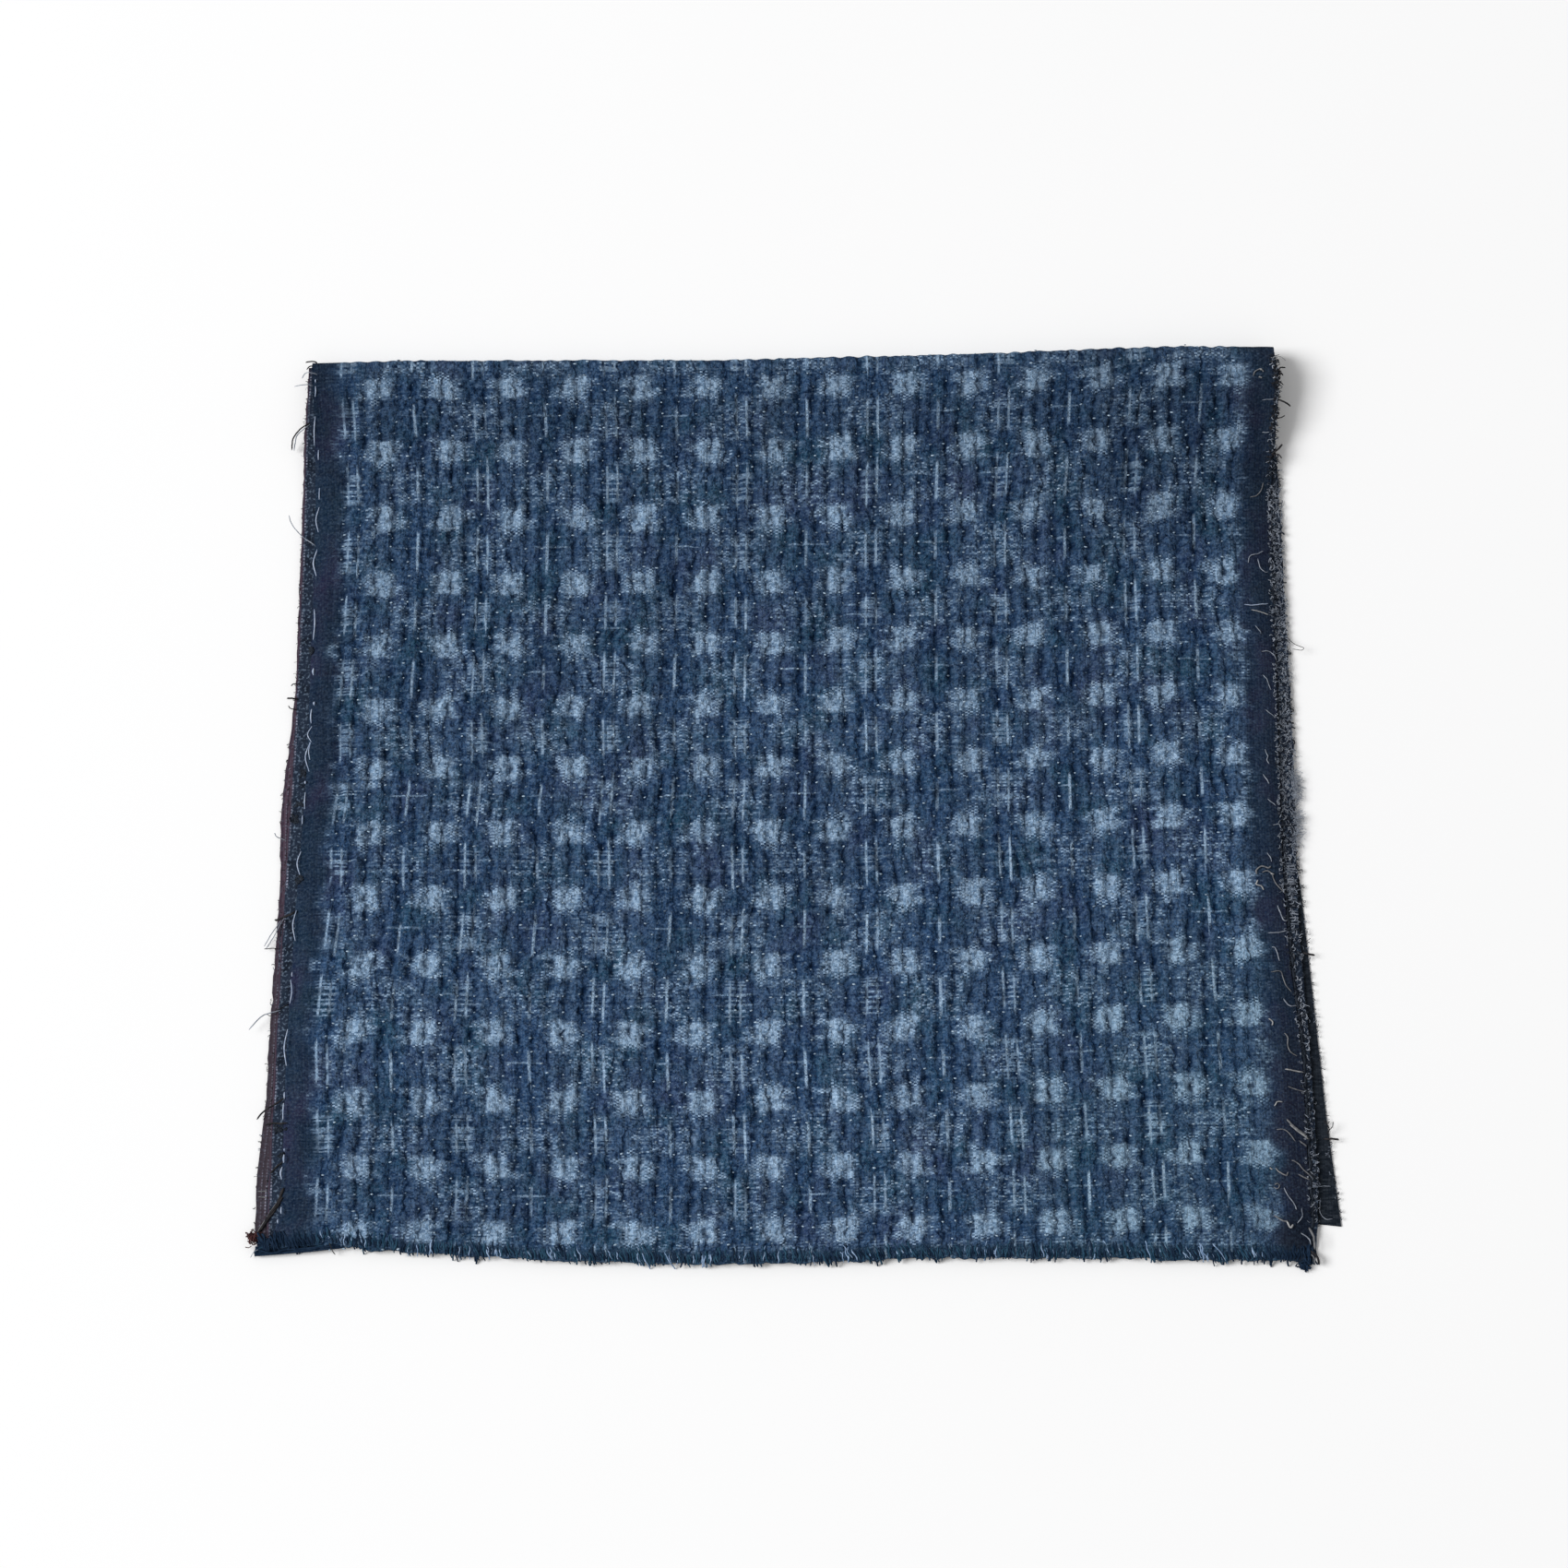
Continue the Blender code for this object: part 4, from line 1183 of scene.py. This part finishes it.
def kasuri_material():
    """Plain weave of resist-dyed warp and weft, with the light repeat on indigo."""
    material, tree, shader = new_material("kasuri weave", 0.95)
    across, run, flat = flat_map(tree, "cloth")
    luck = partial(chance, tree)
    cloud = partial(clouds, tree, flat)
    spot = partial(round_spot, across, run)
    column = across / COLUMN_PITCH
    row = run / ROW_PITCH

    # Yarns, with a tremble in their place. A number with a half that is added to a count only
    # keeps one chance apart from another.
    tremble = cloud(110.0).swing(0.0016)
    warp = ((across + tremble) / WARP_PITCH).floor()
    weft = ((run + tremble) / WEFT_PITCH).floor()
    warp_luck = luck(warp)
    weft_luck = luck(weft + 400.5)
    crossing_luck = luck(warp, weft)
    fleck = luck(((warp + weft_luck * 2.0) / 2.0).floor(), weft + 60.5)
    over = ((warp + weft) / 2.0).step("FRACT").step("GREATER_THAN", 0.25) * OVER_SHARE
    under = over.less(1.0)

    # Yarns were tied in bundles and dyed before they were woven, so their marks slip along them
    blob_column, blob_row = (column + 0.5).floor(), (row + 0.5).floor()
    warp_slip = luck((warp / 4.0).floor(), blob_row).swing(0.17) + warp_luck.swing(0.10)
    weft_slip = luck((weft / 6.0).floor(), blob_column + 70.5).swing(0.24) + weft_luck.swing(0.16)
    slipped_row = row + warp_slip
    slipped_column = column + weft_slip
    wander = cloud(130.0).swing(0.26)
    blob_luck = luck(blob_column + 31.5, blob_row)
    blob_warp = (column + wander).from_nearest(1.0).under(0.150, 0.035)
    blob_warp = blob_warp * slipped_row.from_nearest(1.0).under(0.205, 0.055)
    blob_weft = (row - wander).from_nearest(1.0).under(0.165, 0.035)
    blob_weft = blob_weft * slipped_column.from_nearest(1.0).under(0.250, 0.070)

    # Fine lines between the blobs: twin or single in the warp, and some across in the weft
    line_luck = luck((column * 2.0).floor(), row.floor())
    twin = (column.from_nearest(2.0, 1.52) - 0.078).size().under(0.017, 0.008)
    twin = twin * slipped_row.from_nearest(1.0, 0.5).under(0.29, 0.05)
    bar = column.from_nearest(2.0, 0.52).under(0.020, 0.010)
    bar = bar * slipped_row.from_nearest(1.0, 0.5).under(0.24, 0.05)
    single = row.from_nearest(2.0, 0.44).under(0.014, 0.004)
    single = single * slipped_column.from_nearest(2.0, 0.5).under(0.20, 0.05)
    double = (row.from_nearest(2.0, 1.5) - 0.077).size().under(0.014, 0.004)
    double = double * slipped_column.from_nearest(2.0, 1.5).under(0.20, 0.05)
    rungs = column.from_nearest(2.0, 1.52).under(0.15, 0.03)
    rungs = rungs * row.from_nearest(1.0, 0.5).under(0.28, 0.05) * weft_luck.step("GREATER_THAN", 0.55)
    lines_warp = twin.most(bar) * (line_luck * 0.55 + 0.70)
    lines_weft = single.most(double).most(rungs) * (line_luck.less(1.0) * 0.7 + 0.25)

    # Speckled squares, light in the weft alone
    def speckled(first_row, first_column):
        high = (row + wander).from_nearest(2.0, first_row).under(0.30, 0.08)
        return high * slipped_column.from_nearest(2.0, first_column).under(0.41, 0.08)

    dashes = (fleck * 0.6 + weft_luck * 0.4).past(0.36, 3.5)
    squares = speckled(0.5, 1.5).most(speckled(1.5, 0.5)) * (dashes * 0.74 + 0.01)
    squares = squares * column.under(-0.15, 0.10).less(0.45)

    glow = column.from_nearest(1.0).under(0.24, 0.12) * 0.13
    warp_light = (blob_warp * (blob_luck * 0.36 + 1.08)).most(glow)
    weft_light = (blob_weft * (blob_luck * 0.28 + 0.84)).most(squares)
    patchy = cloud(500.0, 3.0)
    shown = warp_light * over + weft_light * under
    shown = shown * (patchy.swing(1.9) + crossing_luck * 0.60 + 0.58)
    fine_lines = (lines_warp * (over * 0.45 + 0.62)).most(lines_weft * (under * 0.45 + 0.46))
    shown = shown.most(fine_lines * (patchy.swing(1.6) + 1.02))

    # The repeat ends in a ragged line before each side edge, and less far between the blobs. Towards the
    # raw end the repeat fades out and the rim is darker: partly plain navy, partly painted shade.
    ragged = luck((weft / 5.0).floor() + 90.5).swing(0.0024) + cloud(75.0).swing(0.008)
    ragged = ragged + row.from_nearest(1.0) * 0.0030
    half = ((BLOB_COLUMNS - 1) * COLUMN_PITCH + PATTERN_PAST_FIRST + PATTERN_PAST_LAST) / 2
    past = (across - (half - PATTERN_PAST_FIRST)).size() + ragged - (half + 0.0005)
    inside = past.under(-0.0010, 0.0050)
    rim = attribute(tree, "rim") + cloud(130.0).swing(0.25)
    rim = (rim + across * 0.40).past(0.44, 5.0)
    shown = (shown * past.under(0.0004, 0.0022) * rim.less(0.85)).held()

    # The last blobs of the last rows are cut short and dimmer
    cut_short = run.over(0.2700, 0.0080) * across.over(0.3076, 0.0028)
    shown = shown * cut_short.less(0.85) * spot(*LOW_RIGHT_BLOBS).less(0.22)

    # The ground: streaky yarns, clouds of teal and plum, and stray light dashes
    teal = cloud(60.0, 4.0).past(0.47, 5.0)
    plum = cloud(47.0, 4.0, (1.3, 0.8, 1.0)).past(0.50, 5.0)
    mottle = cloud(580.0, 3.0)
    stray = fleck.past(0.80, 5.0) * under
    weft_shade = (fleck * 0.5 + weft_luck * 0.5).blend(*WEFT_INDIGO)
    ground = wash(
        under.blend(warp_luck.blend(*WARP_INDIGO), weft_shade),
        (teal * 0.60, TEAL), (plum * 0.60, PLUM), (mottle.past(0.50, 3.0), PALE_MOTTLE),
        (mottle.past(0.50, -6.0), DEEP_MOTTLE), (stray * 0.42, STRAY_LIGHT),
    )
    rust = cloud(220.0, 3.0).past(0.47, 3.0)
    margin = wash(
        (warp_luck * over + weft_luck * under).blend(*MARGIN_NAVY),
        (rust * 0.6, MARGIN_RUST), (plum * 0.80, MARGIN_PLUM), (teal * 0.22, MARGIN_TEAL),
        (stray * (past.under(0.0030, 0.0030) * 0.35 + 0.08), MARGIN_STRAY),
        (across.over(0.3160, 0.0100) * 0.50, RIGHT_MARGIN),
        (spot(*LOW_RIGHT_EDGE) * 0.65, LOW_RIGHT_MARGIN),
    )
    greyed = spot(*GREYED_SIDE)
    ground = wash(
        inside.blend(margin, ground),
        # Painted shade along the raw end's rim, over its plain navy
        (rim * (across * 0.9 + 0.65), warp_luck.blend(*RIM_NAVY_AND_SHADE)),
        (greyed * inside * 0.25, GREYED_GROUND),
    )
    light = wash(crossing_luck.blend(*RESIST_LIGHT), (greyed * 0.45, GREYED_LIGHT))
    lint = cloud(1250.0)
    colour = wash(
        shown.blend(ground, light),
        (lines_warp * inside * patchy.past(0.40, 4.0) * 0.46, FINE_LINE),
        (lint.past(0.53, 2.2) * (inside * 0.6 + 0.4), LINT),
        (lint.past(0.47, -2.6) * shown.less(0.8), BETWEEN_LINT),
        (spot(*CORNER) * 0.85, DARK_CORNER),
    )

    # Painted shade in the creases, low places and beside each groove; paler specks on the crests, partly
    # wear and partly painted highlight; a tone darker towards the fold and in patches, with painted light
    # on the fold's round top
    ridge = attribute(tree, "ridge") + wander * 0.20 + cloud(330.0).swing(0.9)
    # Painted shade beside each groove, centred a little to its right
    groove_side_shade = ridge.from_nearest(1.0, 0.58).under(0.28, 0.20) * inside
    crease = ridge.from_nearest(1.0, 0.5).under(0.075, 0.050) * inside * cloud(150.0).past(0.40, 5.0)
    # The share of the colour kept out of painted shade: low places, creases and groove sides lose some
    lit_share = (attribute(tree, "crest") * 0.80 + 0.92).held() * groove_side_shade.less(0.20) * crease.less(0.85)
    fuzz = cloud(900.0)
    # A tone darker towards the fold and in streaky patches
    tone_and_fold_light = (row * 0.018 + cloud(75.0, 2.0, (1.0, 0.18, 1.0)).swing(0.55) + 0.80).held()
    # Painted light on the fold's round top, and a little darker over the next few centimetres
    tone_and_fold_light = tone_and_fold_light * (run.under(0.0030, 0.0030) * 0.08 + 1.0) * run.under(0.020, 0.020).less(0.05)
    tone_and_fold_light = tone_and_fold_light * spot(*DARKER_TOP_RIGHT).less(0.20) * spot(*DARKER_LOW_LEFT).less(0.08)
    # Painted shade: creases, low places and groove sides darken towards deep navy
    colour = (lit_share * 0.93 + 0.07).blend(CREASE_SHADE, colour)
    # Paler specks on the crests, partly wear and partly painted highlight
    colour = (lit_share * (fuzz - 0.40) * 0.35).held().blend(colour, WEAR_AND_CREST_HIGHLIGHT)
    colour = tone_and_fold_light.blend(BLACK, colour)
    reverse = attribute(tree, "reverse").step("GREATER_THAN", 0.5)
    colour = reverse.blend(colour, fleck.blend(*REVERSE_DARK))
    tree.links.new(colour, shader.inputs["Base Color"])

    # Heights in millimetres: round yarns, and a fine crinkle
    warp_round = (across / WARP_PITCH).step("FRACT") - 0.5
    weft_round = (run / WEFT_PITCH).step("FRACT") - 0.5
    yarn = warp_round.size() * over + weft_round.size() * under
    height = yarn * -0.30 + fuzz * 0.24 + cloud(560.0, 4.0) * (inside * 1.95 + 0.45) + crease * -0.25
    bump = tree.nodes.new("ShaderNodeBump")
    set_inputs(bump, Strength=1.0, Distance=0.001)
    tree.links.new(height.socket, bump.inputs["Height"])
    tree.links.new(bump.outputs[0], shader.inputs["Normal"])
    return material


DOT_PITCH = 0.0011
BACKING_DARK = ((0.006, 0.010, 0.020), (0.026, 0.038, 0.064))
BACKING_LUMPS = (0.005, 0.007, 0.012)
BACKING_GRAIN = (0.120, 0.165, 0.230)
EDGE_PLUM = ((0.030, 0.020, 0.032), (0.078, 0.052, 0.074))
EDGE_BROWN = (0.040, 0.034, 0.042)
EDGE_GRAIN = (0.085, 0.090, 0.120)
DOT_LIGHT = (0.32, 0.33, 0.43)


def backing_material():
    """Very dark indigo with a plum edge, browner in the lower half, and lines of light dots."""
    material, tree, shader = new_material("backing weave", 0.95)
    from_edge, run, flat = flat_map(tree, "edge")
    luck = partial(chance, tree)
    cloud = partial(clouds, tree, flat)
    below = run.under(0.0, 0.002)
    grain = cloud(1000.0)
    dark = wash(
        cloud(420.0).blend(*BACKING_DARK),
        (cloud(210.0).past(0.50, 7.0) * 0.7, BACKING_LUMPS), (grain.past(0.53, 5.0), BACKING_GRAIN),
    )
    plum = wash(
        luck((from_edge / 0.00045).floor()).blend(*EDGE_PLUM),
        (run.under(-0.220, 0.040) * 0.75, EDGE_BROWN), (grain.past(0.50, 2.6), EDGE_GRAIN),
    )
    narrow = (run + 0.214).size().under(0.020, 0.010)
    edge = below * 0.0032 * narrow.less(0.75) + 0.0006 - from_edge + cloud(60.0).swing(0.0012)
    colour = edge.under(0.0, 0.0003).blend(plum, dark)
    dots = run.from_nearest(DOT_PITCH).under(0.00034, 0.0001)
    dot_luck = luck((run / DOT_PITCH).floor(), (from_edge / DOT_PITCH).floor())
    line = (from_edge - 0.0010 - below * 0.0022).size().under(0.00026, 0.0001) * (dot_luck * 0.6 + 0.25)
    faint_line = (from_edge - 0.0017).size().under(0.0002, 0.0001) * below * (dot_luck * 0.35)
    marks = ((line * cloud(130.0).past(0.40, 4.0)).most(faint_line) * dots).held()
    tree.links.new(marks.blend(colour, DOT_LIGHT), shader.inputs["Base Color"])
    return material


def thread_material(name, dark, light):
    """Sewing thread, from a dark shade to a light one by each stitch's own shade."""
    material, tree, shader = new_material(name, 0.85)
    tree.links.new(attribute(tree, "shade").blend(dark, light), shader.inputs["Base Color"])
    return material


def yarn_material(name, dark, light):
    """Loose thread or yarn, mottled between two shades."""
    material, tree, shader = new_material(name, 0.95)
    node = tree.nodes.new("ShaderNodeTexCoord")
    mottle = clouds(tree, node.outputs["Object"], 600.0, 3.0).past(0.3, 2.5)
    tree.links.new(mottle.blend(dark, light), shader.inputs["Base Color"])
    return material


FLOOR_COLOUR = (0.970, 0.970, 0.972, 1.0)


def make_floor():
    """A plain pale floor under the cloth."""
    mesh = bmesh.new()
    bmesh.ops.create_grid(mesh, x_segments=2, y_segments=2, size=3.0)
    material, _, shader = new_material("pale floor", 0.9)
    set_inputs(shader, Base_Color=FLOOR_COLOUR)
    floor = finish_mesh("floor", mesh, material)
    floor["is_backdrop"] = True


SKY_STRENGTH = 0.402
LAMP_ENERGY = 1375.0
LAMP_DISTANCE = 12.0
LAMP_SIZE = 5.8
LAMP_TURN = math.radians(181.0)
LAMP_RISE = math.radians(42.0)


def make_light():
    """One broad soft light from the left, and a pale sky all round."""
    world = bpy.data.worlds.new("pale sky")
    world.use_nodes = True
    set_inputs(world.node_tree.nodes["Background"], Color=(1.0, 1.0, 1.0, 1.0), Strength=SKY_STRENGTH)
    bpy.context.scene.world = world
    lamp = bpy.data.lights.new("soft window", "AREA")
    lamp.shape = "RECTANGLE"
    lamp.size = LAMP_SIZE
    lamp.size_y = LAMP_SIZE
    lamp.energy = LAMP_ENERGY
    holder = place_object("soft window", lamp)
    level = LAMP_DISTANCE * math.cos(LAMP_RISE)
    holder.location = (level * math.cos(LAMP_TURN), level * math.sin(LAMP_TURN),
                       LAMP_DISTANCE * math.sin(LAMP_RISE))
    holder.rotation_euler = (-holder.location).to_track_quat("-Z", "Y").to_euler()


CAMERA_ELEVATION = math.radians(75.0)
CAMERA_DISTANCE = 1.28
CAMERA_LENS = 84.6
CAMERA_SENSOR = 36.0
CAMERA_TARGET = (-0.0048, 0.0089, 0.0)


def make_camera():
    """The camera, nearly straight above and a little to the near side."""
    camera = bpy.data.cameras.new("camera")
    camera.sensor_width = CAMERA_SENSOR
    camera.lens = CAMERA_LENS
    camera.clip_start = 0.05
    holder = place_object("camera", camera)
    target = Vector(CAMERA_TARGET) + Vector(SHIFT)
    away = Vector((0.0, -math.cos(CAMERA_ELEVATION), math.sin(CAMERA_ELEVATION)))
    holder.location = target + away * CAMERA_DISTANCE
    holder.rotation_euler = (math.pi / 2 - CAMERA_ELEVATION, 0.0, 0.0)
    bpy.context.scene.camera = holder


TONES = {
    "pale": ((0.24, 0.31, 0.45), (0.48, 0.55, 0.68)),
    "blue": ((0.13, 0.22, 0.37), (0.36, 0.48, 0.66)),
    "dark": ((0.010, 0.010, 0.013), (0.040, 0.038, 0.040)),
    "soot": ((0.009, 0.012, 0.019), (0.034, 0.042, 0.056)),
    "grey": ((0.125, 0.147, 0.188), (0.390, 0.428, 0.495)),
    "fluff": ((0.056, 0.069, 0.094), (0.215, 0.248, 0.305)),
    "tan": ((0.095, 0.098, 0.106), (0.235, 0.240, 0.252)),
    "cream": ((0.200, 0.205, 0.212), (0.430, 0.435, 0.440)),
    "red": ((0.030, 0.014, 0.016), (0.095, 0.042, 0.044)),
    "indigo": ((0.009, 0.034, 0.066), (0.038, 0.092, 0.148)),
    "navy": ((0.006, 0.015, 0.034), (0.018, 0.036, 0.070)),
}


def main():
    bpy.context.scene.view_settings.view_transform = "Standard"
    make_camera()
    make_light()
    make_floor()
    stitches = stitch_places()
    relief, low = quilt_relief(stitches)
    face = make_face(relief, low, kasuri_material())
    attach(face, "root")
    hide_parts("kasuri_face")
    backing = make_backing(backing_material())
    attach(backing, "root")
    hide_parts("backing_cloth")
    pale = thread_material("pale stitches", (0.020, 0.045, 0.090), (0.420, 0.540, 0.650))
    dashes = make_stitches(stitches, relief, low, pale)
    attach(dashes, "root")
    yarns = {tone: yarn_material(tone + " yarn", *shades) for tone, shades in TONES.items()}
    on_face = [dashes]
    on_backing = []
    for title, groups, slot, owner in (
        ("placed_thread", placed_threads(), "sewing_thread", on_face),
        ("right_fray", right_fray(), "backing_cotton", on_backing),
        ("left_fray", left_fray(), "backing_cotton", on_backing),
        ("warp_ends", bottom_fringe(), "kasuri_cotton", on_face),
        ("tuft", tufts(), "sewing_thread", on_face),
    ):
        for tone, lines in groups.items():
            sides = 1 if title == "placed_thread" else 0
            owner.append(make_threads(title + "_" + tone, lines, yarns[tone], sides))


main()
